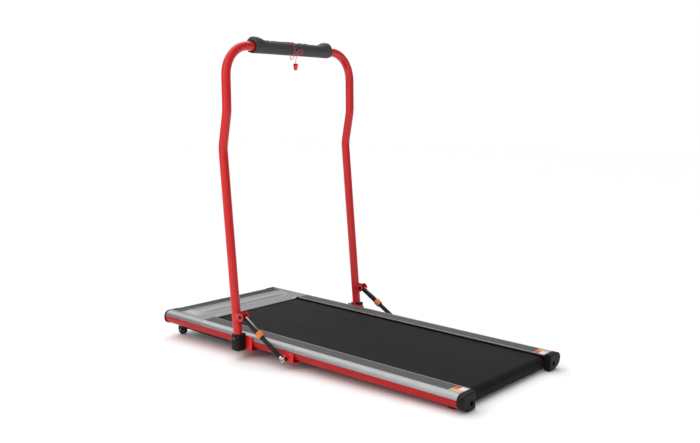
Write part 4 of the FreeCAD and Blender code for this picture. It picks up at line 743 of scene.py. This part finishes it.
def tray_louvres():
    """Two rows of cooling louvres pressed out of the tray's underside."""
    mesh = bmesh.new()
    for row in (0.3, 0.62):
        y = PAN.y0 + row * (PAN.y1 - PAN.y0)
        for step in range(-7, 8):
            x = step * 22.0
            block(mesh, (x - 7, y - 9, PAN.z0 - 0.9), (x + 7, y - 5, PAN.z0 + 0.4), 0.4, 2)
            block(mesh, (x - 7, y + 3, PAN.z0 - 0.9), (x + 7, y + 7, PAN.z0 + 0.4), 0.4, 2)
    piece("tray_louvres", mesh, BLACK_ABS, "deck")


# ---- brackets, sleeves and studs ----

BRACKET_INNER = RAIL.x1 + 1.5
BRACKET_WALL = 3.0
BRACKET_BEND = 5.0


def angle_bracket(node, name):
    """Pressed angle: an upright plate with rounded corners, bent under the rail with an inside radius."""
    whole = LevelBox(node, 1)
    for word, side in SIDES:
        mesh = bmesh.new()
        outer = whole.x1
        low = whole.z0
        profile = [(whole.x0, low), (outer - BRACKET_BEND, low)]
        profile += arc((outer - BRACKET_BEND, low + BRACKET_BEND), BRACKET_BEND, -80, 0, 7)
        profile += [(outer, whole.z1 - 1.2), (outer - 0.6, whole.z1), (outer - BRACKET_WALL + 0.6, whole.z1),
                    (outer - BRACKET_WALL, whole.z1 - 1.2)]
        inside = BRACKET_BEND - BRACKET_WALL
        profile += arc((outer - BRACKET_BEND, low + BRACKET_BEND), inside, 0, -90, 5)
        profile += [(whole.x0, low + BRACKET_WALL)]
        slab(mesh, profile, Vector((0, whole.y1 - whole.y0, 0)), section_at(whole.y0), 0.5)
        corners = [v for v in mesh.verts if v.co.z > whole.z1 - 1.5]
        for vert in corners:
            middle = (whole.y0 + whole.y1) / 2
            near_end = abs(vert.co.y - middle) > (whole.y1 - whole.y0) / 2 - 1
            if near_end and vert.co.z > whole.z1 - 0.2:
                vert.co.z -= 1.0
        if side < 0:
            flip(mesh)
        piece(f"{name}_{word}", mesh, RED_GLOSS, "deck", [node])


def bracket_fasteners():
    """Hexagon heads with washers under the bracket bases."""
    base = LevelBox("bracket_bolts", 1)
    plates = (LevelBox("hinge_brackets", 1), LevelBox("strut_brackets", 1))
    for word, side in SIDES:
        mesh = bmesh.new()
        for plate in plates:
            for y in (plate.y0 + 10, plate.y1 - 10):
                start = Vector(((base.x0 + base.x1) / 2, y, plate.z0))
                ring(mesh, start, start - Vector((0, 0, 1.0)), 6.5, 2.0, 0.3)
                hexagon(mesh, start - Vector((0, 0, 1.0)), (0, 0, -1), 9.0, 3.0)
        if side < 0:
            flip(mesh)
        piece(f"bracket_hex_bolts_{word}", mesh, ZINC, "deck", ["bracket_bolts"])


def hinge_sleeves():
    """Moulded foot sleeves: a round boss about the leg, a taller rib behind it and a rolled top rim."""
    for word, side in SIDES:
        mesh = bmesh.new()
        middle = (SLEEVE.y0 + SLEEVE.y1) / 2
        half = (SLEEVE.y1 - SLEEVE.y0) / 2
        inner = SLEEVE.x0
        outer = SLEEVE.x1
        round_by = 11.0
        outline = [(inner, middle - half), (outer - round_by, middle - half)]
        outline += arc((outer - round_by, middle - half + round_by), round_by, -80, 0, 7)
        outline += arc((outer - round_by, middle + half - round_by), round_by, 0, 80, 7)
        outline += [(outer - round_by, middle + half), (inner, middle + half)]
        top = SLEEVE.z1 - 5.0
        slab(mesh, outline, Vector((0, 0, top - SLEEVE.z0 - 4)), Matrix.Translation((0, 0, SLEEVE.z0 + 4)))
        lids = [f for f in mesh.faces if len(f.verts) > 8]
        for lid in lids:
            up = 1 if lid.calc_center_median().z > HINGE.z - 10 else -1
            for drop, width in ((1.6, 0.5), (1.2, 1.1), (0.6, 1.6)):
                bmesh.ops.inset_region(mesh, faces=[lid], thickness=width, depth=0.0)
                bmesh.ops.translate(mesh, verts=lid.verts[:], vec=(0, 0, up * drop * (0.45 if up > 0 else 1)))
        block(mesh, (inner + 0.2, SLEEVE.y0 - 0.6, SLEEVE.z0 + 8), (inner + 7.5, SLEEVE.y0 + 9.5, SLEEVE.z1), 1.6, 4)
        if side < 0:
            flip(mesh)
        piece(f"leg_sleeve_{word}", mesh, BLACK_ABS, "handrail", ["hinge_sleeves"], sharp=40)


def stud_caps():
    """Black washer with a bright pin end in the middle, on the outside of each sleeve."""
    stud = LevelBox("hinge_studs", 1)
    for word, side in SIDES:
        face = Vector((SLEEVE.x1 - 0.2, HINGE.y, HINGE.z))
        washer = bmesh.new()
        turned(washer, [(0, 1.2), (5.0, 1.2), (6.6, 0.9), (7.2, 0.2), (7.2, -0.4), (0, -0.4)], face, (1, 0, 0))
        pin = bmesh.new()
        dome = stud.x1 - face.x
        turned(pin, [(0, dome), (1.1, dome - 0.2), (1.8, dome - 0.9), (2.0, 1.0), (2.0, -37), (0, -37)], face, (1, 0, 0), 28)
        if side < 0:
            flip(washer)
            flip(pin)
        piece(f"stud_washer_{word}", washer, BLACK_STEEL, "deck")
        piece(f"stud_pin_{word}", pin, ZINC, "deck", ["hinge_studs"])


# ---- ears and folding struts ----

STRUT_WAY = (EYE - EAR).normalized()
GUARD_END = 97.0
COLLAR_START = 75.5
COLLAR_END = 97.0
COLLAR_BORE = 8.9
CYLINDER_START = 91.0
CYLINDER_END = 184.0


def on_strut(distance):
    return EAR + STRUT_WAY * distance


def strut_ears():
    """Pressed ears either side of the leg, each a disc whose neck runs onto the tube."""
    way = (LEG_KINK - LEG_LOW).normalized()
    lean = math.degrees(math.atan2(way.y, way.z))
    for word, side in SIDES:
        mesh = bmesh.new()
        for offset in (-12.2, 12.2):
            start = LEG_X + offset - 1.3
            slab(mesh, arc((EAR.y, EAR.z), 13.6, 0, 354, 59), Vector((2.6, 0, 0)), side_at(start), 0.7, 3)
            root = EAR.y + 33.0
            neck = arc((EAR.y, EAR.z), 11.0, 120 - lean, 240 - lean, 16)
            neck += [(root - 1.4, EAR.z - 11.0), (root + 1.4, EAR.z + 11.0)]
            slab(mesh, neck, Vector((1.8, 0, 0)), side_at(LEG_X + offset - 0.9), 0.5, 3)
        if side < 0:
            flip(mesh)
        piece(f"leg_ears_{word}", mesh, RED_GLOSS, "handrail", ["strut_ears"], sharp=40)


def ear_bolts():
    """Black cap screws through the ears, with a hexagon socket, and a nut on the inner side."""
    for word, side in SIDES:
        mesh = bmesh.new()
        out = Vector((LEG_X + 13.5, EAR.y, EAR.z))
        head = [(0, 1.6), (2.6, 1.6), (2.6, 3.2), (3.6, 3.4), (4.8, 3.2), (5.6, 2.2), (5.8, 0), (0, 0)]
        turned(mesh, head, out, (1, 0, 0), 32)
        rod(mesh, Vector((LEG_X - 13.5, EAR.y, EAR.z)), out, 3.4, 0.3)
        hexagon(mesh, Vector((LEG_X - 13.5, EAR.y, EAR.z)), (-1, 0, 0), 10.0, 2.6)
        if side < 0:
            flip(mesh)
        piece(f"ear_screw_{word}", mesh, BLACK_STEEL, "handrail", ["ear_bolts"])


def strut_guards():
    """Black guard channel over the rod, open on its upper side, with its eye on the ear bolt."""
    for word, side in SIDES:
        mesh = bmesh.new()
        place = along(on_strut(10.0), STRUT_WAY)
        up = math.degrees(math.atan2(*(place.inverted().to_3x3() @ Vector((0, 0, 1))).yx))
        outline = arc((0, 0), 8.6, up + 28, up + 332, 34) + arc((0, 0), 7.5, up + 328, up + 32, 34)
        slab(mesh, outline, STRUT_WAY * (GUARD_END - 10.0), place, 0.4)
        turned(mesh, [(0, 0), (5.6, 0), (8.0, 1.2), (8.6, 3.0), (8.6, 6.0), (0, 6.0)], on_strut(7.5), STRUT_WAY)
        ring(mesh, EAR - Vector((4.4, 0, 0)), EAR + Vector((4.4, 0, 0)), 7.4, 3.6, 0.8)
        if side < 0:
            flip(mesh)
        piece(f"guard_channel_{word}", mesh, BLACK_STEEL, f"strut_upper_{word}",
              [f"strut_shroud_{word}"])
        bright = bmesh.new()
        rod(bright, on_strut(12.0), on_strut(99.0), 3.6, 0.4)
        strip = arc((0, 0), 8.8, up - 13, up + 13, 8) + arc((0, 0), 7.2, up + 13, up - 13, 8)
        slab(bright, strip, STRUT_WAY * (COLLAR_START - 11.0), place, 0.2)
        if side < 0:
            flip(bright)
        piece(f"guard_rod_{word}", bright, STEEL, f"strut_upper_{word}")


def lock_collars():
    """Orange release collar: rounded ends and twelve shallow thumb flutes."""
    for word, side in SIDES:
        mesh = bmesh.new()
        length = COLLAR_END - COLLAR_START
        outline = []
        for step in range(96):
            turn = math.tau * step / 96
            radius = 10.8 - 0.45 * max(0.0, math.cos(turn * 12)) ** 2
            outline.append((radius * math.cos(turn), radius * math.sin(turn)))
        slab(mesh, outline, STRUT_WAY * (length - 3.0), along(on_strut(COLLAR_START + 1.5), STRUT_WAY))
        for lid in [f for f in mesh.faces if len(f.verts) > 8]:
            out = (lid.calc_center_median() - on_strut((COLLAR_START + COLLAR_END) / 2)).normalized()
            for drop, width in ((0.9, 0.4), (0.6, 0.9)):
                bmesh.ops.inset_region(mesh, faces=[lid], thickness=width, depth=0.0)
                bmesh.ops.translate(mesh, verts=lid.verts[:], vec=out * drop)
        lids = [f for f in mesh.faces if len(f.verts) > 8]
        bmesh.ops.delete(mesh, geom=lids, context="FACES")
        rims = [e for e in mesh.edges if e.is_boundary]
        made = bmesh.ops.extrude_edge_only(mesh, edges=rims)["geom"]
        for vert in (g for g in made if isinstance(g, bmesh.types.BMVert)):
            out = vert.co - on_strut((vert.co - EAR).dot(STRUT_WAY))
            vert.co += out.normalized() * (COLLAR_BORE - out.length)
        bmesh.ops.bridge_loops(mesh, edges=[e for e in mesh.edges if e.is_boundary])
        if side < 0:
            flip(mesh)
        piece(f"release_collar_{word}", mesh, ORANGE, f"collar_{word}", [f"lock_collar_{word}"], sharp=50)


def strut_cylinders():
    """Black gas cylinder with a rolled end, and a chromed clevis eye on its pivot bolt."""
    for word, side in SIDES:
        mesh = bmesh.new()
        length = CYLINDER_END - CYLINDER_START
        barrel = [(0, length - 4.0), (3.9, length - 4.0), (3.9, 0.5), (5.4, 0.5), (6.6, 1.3), (7.0, 2.6), (7.0, length - 9.0), (6.7, length - 8.4),
                  (6.7, length - 7.2), (7.0, length - 6.6), (7.0, length - 2.5), (6.0, length - 0.7),
                  (4.0, length), (0, length)]
        turned(mesh, barrel, on_strut(CYLINDER_START), STRUT_WAY)
        if side < 0:
            flip(mesh)
        piece(f"gas_cylinder_{word}", mesh, BLACK_STEEL, f"strut_lower_{word}",
              [f"strut_cylinder_{word}"])
        link = bmesh.new()
        turned(link, [(0, 0), (4.4, 0), (4.6, 0.8), (4.6, 5.5), (3.2, 6.6), (3.0, 12.0), (0, 12.0)],
               on_strut(CYLINDER_END - 0.5), STRUT_WAY, 28)
        ring(link, EYE - Vector((4.5, 0, 0)), EYE + Vector((4.5, 0, 0)), 7.4, 3.5, 0.9)
        if side < 0:
            flip(link)
        piece(f"clevis_eye_{word}", link, STEEL, f"strut_lower_{word}")
        bolt = bmesh.new()
        inner = BRACKET_INNER + BRACKET_WALL + 0.6
        rod(bolt, Vector((inner, EYE.y, EYE.z)), Vector((LEG_X + 5.0, EYE.y, EYE.z)), 3.4, 0.4)
        ring(bolt, Vector((inner, EYE.y, EYE.z)), Vector((inner + 1.2, EYE.y, EYE.z)), 6.2, 3.0, 0.3)
        hexagon(bolt, Vector((inner + 1.2, EYE.y, EYE.z)), (1, 0, 0), 10.0, 4.0)
        if side < 0:
            flip(bolt)
        piece(f"eye_bolt_{word}", bolt, BLACK_STEEL, f"strut_lower_{word}")


# ---- console ----

CONSOLE_HALF = 177.0
GRIP_RADIUS = 20.0
LOBE_SHIFT = 5.3
BLOCK_FRONT = 31.0
BLOCK_TOP = 16.1
BLOCK_CHIN = 17.5
LOBE_FOOT = 118.0
LOBE_PEAK = 158.0
END_ROUND = 7.0
MOUTH_RADIUS = 18.4


def console_radius(x, turn):
    """Distance from the bar's axis to the housing's skin; turn runs from forward to up."""
    ahead, up = math.cos(turn), math.sin(turn)
    lobe = ease(abs(x), LOBE_FOOT, LOBE_PEAK)
    shift = LOBE_SHIFT * lobe
    reach = shift * (ahead + up)
    swollen = reach + math.sqrt((GRIP_RADIUS + shift) ** 2 - 2 * shift ** 2 + reach ** 2)
    radius = max(GRIP_RADIUS, swollen)
    if ahead > 0.02:
        front = BLOCK_FRONT - 8.0 * ease(abs(x), 135, 160)
        top = BLOCK_TOP if up > 0 else BLOCK_CHIN
        sides = (ahead / front) ** 9 + (abs(up) / top) ** 9
        boxed = sides ** (-1 / 9)
        radius = (radius ** 14 + boxed ** 14) ** (1 / 14)
    elif lobe == 0 and up > 0:
        radius = GRIP_RADIUS
    return radius


def console_stations():
    """(x, how much the skin draws in) along the housing, both ends rounded."""
    middle = [(-168.0 + 4.0 * i, 0.0) for i in range(85)]
    end = []
    for step in range(1, 8):
        turn = math.radians(90 * step / 7)
        end.append((CONSOLE_HALF - END_ROUND + END_ROUND * math.sin(turn), END_ROUND * (1 - math.cos(turn))))
    return [(-x, draw) for x, draw in reversed(end)] + middle + end


def console_housing():
    """Charcoal housing: round grip behind, flat-topped block in front, a swollen lobe at each end."""
    mesh = bmesh.new()
    turns = [math.radians(3 * i) for i in range(120)]
    stations = console_stations()

    def skin(x, draw, turn):
        radius = max(console_radius(x, turn) - draw, MOUTH_RADIUS)
        return TOP_BAR + Vector((x, radius * math.cos(turn), radius * math.sin(turn)))

    verts = [mesh.verts.new((0, 0, 0)) for _ in turns]
    edges = [mesh.edges.new((a, b)) for a, b in zip(verts, verts[1:] + verts[:1])]
    mouth = [(MOUTH_RADIUS - 1.2, -4.0), (MOUTH_RADIUS - 0.1, -4.0), (MOUTH_RADIUS, -0.4)]
    shapes = []
    for radius, dx in mouth:
        shapes.append(lambda turn, r=radius, d=dx: TOP_BAR + Vector((
            -CONSOLE_HALF - d, r * math.cos(turn), r * math.sin(turn))))
    for x, draw in stations:
        shapes.append(lambda turn, x=x, d=draw: skin(x, d, turn))
    for radius, dx in reversed(mouth):
        shapes.append(lambda turn, r=radius, d=dx: TOP_BAR + Vector((
            CONSOLE_HALF + d, r * math.cos(turn), r * math.sin(turn))))
    for index, shape in enumerate(shapes):
        if index:
            made = bmesh.ops.extrude_edge_only(mesh, edges=edges)["geom"]
            fresh = {v: None for v in made if isinstance(v, bmesh.types.BMVert)}
            verts = [next(e.other_vert(v) for e in v.link_edges if e.other_vert(v) in fresh) for v in verts]
            edges = [mesh.edges.get((a, b)) for a, b in zip(verts, verts[1:] + verts[:1])]
        for vert, turn in zip(verts, turns):
            vert.co = shape(turn)
    bmesh.ops.holes_fill(mesh, edges=[e for e in mesh.edges if e.is_boundary], sides=len(turns))
    piece("console_housing", mesh, CHARCOAL, "handrail",
          ["console_rear_shell", "console_front_shell"], sharp=45)


def console_bushings():
    """Inner bushing rings that close the housing's ends round the bar."""
    mesh = bmesh.new()
    for side in (-1, 1):
        start = TOP_BAR + Vector((side * (CONSOLE_HALF - 6.0), 0, 0))
        ring(mesh, start, start + Vector((side * 5.2, 0, 0)), MOUTH_RADIUS - 1.6, TUBE_RADIUS + 0.05, 0.9)
    piece("console_bushings", mesh, BLACK_ABS, "handrail")


# ---- controls ----

BUTTON_X = (-92.0, -66.0, 57.0, 83.0)
BUTTON_Y = 293.2
DIGIT_X = (-49.0, -41.0, -30.0, -22.0)
ICON_HEIGHT = 0.25
CONTROL_TOP = 991.8


def button_caps():
    """Crowned silicone keys with a soft rolled rim, standing just above the grip."""
    for number, x in enumerate(BUTTON_X, 1):
        node = LevelBox(f"button_{number}")
        radius = (node.y1 - node.y0) / 2
        middle_y = (node.y0 + node.y1) / 2
        outline = arc((node.x1 - radius, middle_y), radius, -90, 90, 14)
        outline += arc((node.x0 + radius, middle_y), radius, 90, 270, 14)
        mesh = bmesh.new()
        low = node.z0 + 0.4
        slab(mesh, outline, Vector((0, 0, CONTROL_TOP - 0.9 - low)), Matrix.Translation((0, 0, low)))
        lid = max((f for f in mesh.faces if len(f.verts) > 8), key=lambda f: f.calc_center_median().z)
        for rise, width in ((0.45, 0.25), (0.3, 0.6), (0.15, 1.4)):
            bmesh.ops.inset_region(mesh, faces=[lid], thickness=width, depth=0.0)
            bmesh.ops.translate(mesh, verts=lid.verts[:], vec=(0, 0, rise))
        piece(f"key_{number}", mesh, BUTTON_GREY, f"button_{number}", [f"button_{number}"], sharp=50)


def button_icons():
    """Raised pictograms on the four keys: minus, plus, a square for stop and a triangle for start."""
    for number, x in enumerate(BUTTON_X, 1):
        top = CONTROL_TOP
        mesh = bmesh.new()
        if number == 1:
            block(mesh, (x - 2.6, BUTTON_Y - 0.45, top - 0.1), (x + 2.6, BUTTON_Y + 0.45, top + ICON_HEIGHT), 0.1, 1)
        elif number == 2:
            block(mesh, (x - 2.6, BUTTON_Y - 0.45, top - 0.1), (x + 2.6, BUTTON_Y + 0.45, top + ICON_HEIGHT), 0.1, 1)
            block(mesh, (x - 0.45, BUTTON_Y - 2.6, top - 0.1), (x + 0.45, BUTTON_Y + 2.6, top + ICON_HEIGHT), 0.1, 1)
        elif number == 3:
            block(mesh, (x - 2.0, BUTTON_Y - 2.0, top - 0.1), (x + 2.0, BUTTON_Y + 2.0, top + ICON_HEIGHT), 0.1, 1)
        else:
            slab(mesh, [(x - 1.8, BUTTON_Y - 2.3), (x + 2.6, BUTTON_Y), (x - 1.8, BUTTON_Y + 2.3)],
                 Vector((0, 0, ICON_HEIGHT + 0.1)), Matrix.Translation((0, 0, top - 0.1)))
        piece(f"icon_{number}", mesh, LABEL_WHITE, f"button_{number}", sharp=60)


def display():
    """Smoked window with a four-digit teal readout of zeros."""
    window = bmesh.new()
    block(window, (-56, BUTTON_Y - 6.6, PAD.z1 - 0.2), (-15, BUTTON_Y + 5.2, CONTROL_TOP - 0.6), 1.2, 3)
    piece("display_window", window, TRIM, "handrail")
    digits = bmesh.new()
    top = CONTROL_TOP - 0.7
    for x in DIGIT_X:
        for dx, y0, y1 in ((-2.3, -4.6, 3.4), (1.5, -4.6, 3.4)):
            block(digits, (x + dx, BUTTON_Y + y0, top), (x + dx + 0.8, BUTTON_Y + y1, top + 0.2), 0.08, 1)
        for y in (-4.6, 2.6):
            block(digits, (x - 1.4, BUTTON_Y + y, top), (x + 1.4, BUTTON_Y + y + 0.8, top + 0.2), 0.08, 1)
    piece("display_digits", digits, TEAL, "handrail", sharp=60)


def safety_key():
    """Red key cap: round-ended, crowned, with two finger ridges."""
    key = LevelBox("safety_key")
    top = CONTROL_TOP
    middle_y = key.y0 + 7.0
    mesh = bmesh.new()
    outline = arc((key.x1 - 7.0, middle_y), 7.0, -90, 90, 14) + arc((key.x0 + 7.0, middle_y), 7.0, 90, 270, 14)
    slab(mesh, outline, Vector((0, 0, top - key.z1 + 3.2)), Matrix.Translation((0, 0, key.z1 - 3.2)))
    for lid in [f for f in mesh.faces if len(f.verts) > 8 and f.calc_center_median().z > top - 1]:
        for drop, width in ((0.5, 0.3), (0.35, 0.6), (0.25, 1.2)):
            bmesh.ops.inset_region(mesh, faces=[lid], thickness=width, depth=0.0)
            bmesh.ops.translate(mesh, verts=lid.verts[:], vec=(0, 0, drop * 0.5))
    for x in (key.x0 + 13, key.x1 - 13):
        block(mesh, (x - 1.2, middle_y - 4.5, top), (x + 1.2, middle_y + 4.5, top + 1.1), 0.5, 3)
    piece("key_cap", mesh, RED_ABS, "safety_key", sharp=50)


# ---- safety cord ----

# The route's points in metres in the deck frame, from the key over the grip, through a slack bow, to the clip.
CORD_POINTS = (
    (0.0020, 0.2840, 0.9883), (-0.0030, 0.2720, 0.9896), (-0.0080, 0.2600, 0.9882), (-0.0110, 0.2516, 0.9810),
    (-0.0120, 0.2486, 0.9710), (-0.0120, 0.2476, 0.9620), (-0.0150, 0.2470, 0.9540), (-0.0230, 0.2464, 0.9485),
    (-0.0320, 0.2458, 0.9455), (-0.0380, 0.2452, 0.9395), (-0.0330, 0.2446, 0.9335), (-0.0250, 0.2442, 0.9375),
    (-0.0190, 0.2439, 0.9450), (-0.0110, 0.2436, 0.9530), (-0.0020, 0.2432, 0.9605), (0.0080, 0.2428, 0.9670),
    (0.0180, 0.2422, 0.9685), (0.0205, 0.2414, 0.9610), (0.0120, 0.2408, 0.9555), (0.0010, 0.2406, 0.9525),
    (-0.0080, 0.2409, 0.9475), (-0.0125, 0.2420, 0.9395), (-0.0120, 0.2432, 0.9310), (-0.0120, 0.2436, 0.9220),
)
CORD_RADIUS = 0.0010


def key_clip():
    """Two-jaw clothes clip: bowed jaws that meet at the tip, a spring barrel and an eye for the cord."""
    clip = LevelBox("key_clip")
    middle = Vector(CORD_POINTS[-1]) * 1000
    top = clip.z1 - 1.0
    mesh = bmesh.new()
    for side in (-1, 1):
        outline = [(side * 0.5, -19.8), (side * 0.9, -13.5), (side * 1.6, -7.0), (side * 3.4, 0.8), (side * 4.2, 0.2),
                   (side * 4.6, -5.5), (side * 4.2, -11.0), (side * 3.4, -16.5), (side * 2.2, -20.4)]
        outline = [(middle.y + a, top + b) for a, b in outline]
        slab(mesh, outline, Vector((clip.x1 - clip.x0, 0, 0)), side_at(clip.x0), 0.5)
    for vert in mesh.verts:
        drop = (top - vert.co.z) / 20
        width = 1.0 - 0.34 * ease(drop, 0.1, 1.0)
        vert.co.x = middle.x + (vert.co.x - middle.x) * width
    rod(mesh, Vector((clip.x0 + 1, middle.y, top - 8.5)), Vector((clip.x1 - 1, middle.y, top - 8.5)), 1.9, 0.4, 20)
    ring(mesh, Vector((middle.x, middle.y, top - 7.5)), Vector((middle.x, middle.y, top - 0.2)), 1.7, 0.9, 0.3, 20)
    return piece("clothes_clip", mesh, RED_ABS, "safety_key", ["key_clip"], sharp=50)


def cord_eyelet():
    """Short moulded collar where the cord leaves the key."""
    start = Vector(CORD_POINTS[0]) * 1000
    way = (Vector(CORD_POINTS[1]) - Vector(CORD_POINTS[0])).normalized()
    mesh = bmesh.new()
    turned(mesh, [(0, 3.0), (0.9, 3.0), (1.5, 2.8), (2.1, 0.0), (2.3, -2.0), (0, -2.0)], start, way, 24)
    piece("cord_collar", mesh, RED_ABS, "safety_key")


def safety_cord(clip):
    data = bpy.data.curves.new("lanyard", "CURVE")
    data.dimensions = "3D"
    data.bevel_depth = CORD_RADIUS
    data.bevel_resolution = 3
    data.use_fill_caps = True
    data.resolution_u = 12
    spline = data.splines.new("NURBS")
    spline.points.add(len(CORD_POINTS) - 1)
    for point, place in zip(spline.points, CORD_POINTS):
        point.co = (*(LEVEL_TO_ROW @ (Vector(place) * 1000)), 1.0)
    spline.order_u = 3
    spline.use_endpoint_u = True
    data.materials.append(CORD_RED)
    cord = bpy.data.objects.new("lanyard", data)
    bpy.context.scene.collection.objects.link(cord)
    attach(cord, "safety_key")
    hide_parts("safety_cord")


def build_deck_pieces():
    cover_shell()
    trim_panel()
    strip_labels()
    cap_rims()
    front_end_rims()
    side_seams()
    rail_lips()
    front_wheels()
    wheel_bolts()
    foot_rings()
    tray_louvres()
    angle_bracket("hinge_brackets", "hinge_angle")
    angle_bracket("strut_brackets", "strut_angle")
    bracket_fasteners()


def build_handrail_pieces():
    hinge_sleeves()
    stud_caps()
    strut_ears()
    ear_bolts()
    strut_guards()
    lock_collars()
    strut_cylinders()


def build_console_pieces():
    console_housing()
    console_bushings()
    button_caps()
    button_icons()
    display()
    safety_key()
    cord_eyelet()
    safety_cord(key_clip())


# ---- camera, floor and light ----

CAMERA_PLACE = (-2.0206, -1.702833, 0.758105)
CAMERA_WAY = (0.7587963, 0.6386348, -0.1279596)
CAMERA_LENS = 43.70
STUDIO_GLOW = 0.3


def set_camera():
    data = bpy.data.cameras.new("camera")
    data.lens = CAMERA_LENS
    data.clip_end = 60
    camera = bpy.data.objects.new("camera", data)
    camera.location = CAMERA_PLACE
    camera.rotation_euler = Vector(CAMERA_WAY).to_track_quat("-Z", "Y").to_euler()
    bpy.context.scene.collection.objects.link(camera)
    bpy.context.scene.camera = camera


def set_floor():
    mesh = bmesh.new()
    bmesh.ops.create_grid(mesh, x_segments=1, y_segments=1, size=14)
    data = bpy.data.meshes.new("floor")
    mesh.to_mesh(data)
    mesh.free()
    data.materials.append(studio_floor())
    floor = bpy.data.objects.new("floor", data)
    bpy.context.scene.collection.objects.link(floor)


def lamp(name, kind, place, aim, watts, **settings):
    data = bpy.data.lights.new(name, kind)
    data.energy = watts
    for key, value in settings.items():
        setattr(data, key, value)
    made = bpy.data.objects.new(name, data)
    made.location = place
    made.rotation_euler = (Vector(aim) - Vector(place)).to_track_quat("-Z", "Y").to_euler()
    bpy.context.scene.collection.objects.link(made)


def set_light():
    """White sweep all round, dimmer to the object than to the eye, and broad soft lights above."""
    world = bpy.data.worlds.new("studio")
    world.use_nodes = True
    tree = world.node_tree
    seen = add(tree, "ShaderNodeLightPath").outputs["Is Camera Ray"]
    strength = add(tree, "ShaderNodeMapRange", links={"Value": seen}, To_Min=STUDIO_GLOW, To_Max=1.0)
    background = tree.nodes["Background"]
    background.inputs["Color"].default_value = srgb("#FFFFFF")
    tree.links.new(strength.outputs["Result"], background.inputs["Strength"])
    bpy.context.scene.world = world
    lamp("top_sun", "SUN", (0.5, 1.3, 2.6), (0, 0, 0), 2.0, angle=math.radians(75))
    lamp("side_sun", "SUN", (-2.4, -1.6, 2.0), (0, 0, 0), 0.85, angle=math.radians(80))
    lamp("strip_box", "AREA", (-2.2, 0.6, 1.6), (0, 0.1, 0.5), 14, shape="RECTANGLE", size=0.5, size_y=2.2)
    bpy.context.scene.view_settings.view_transform = "Standard"


# ---- run ----

dress_nodes()
build_deck_pieces()
build_handrail_pieces()
build_console_pieces()
set_camera()
set_floor()
set_light()
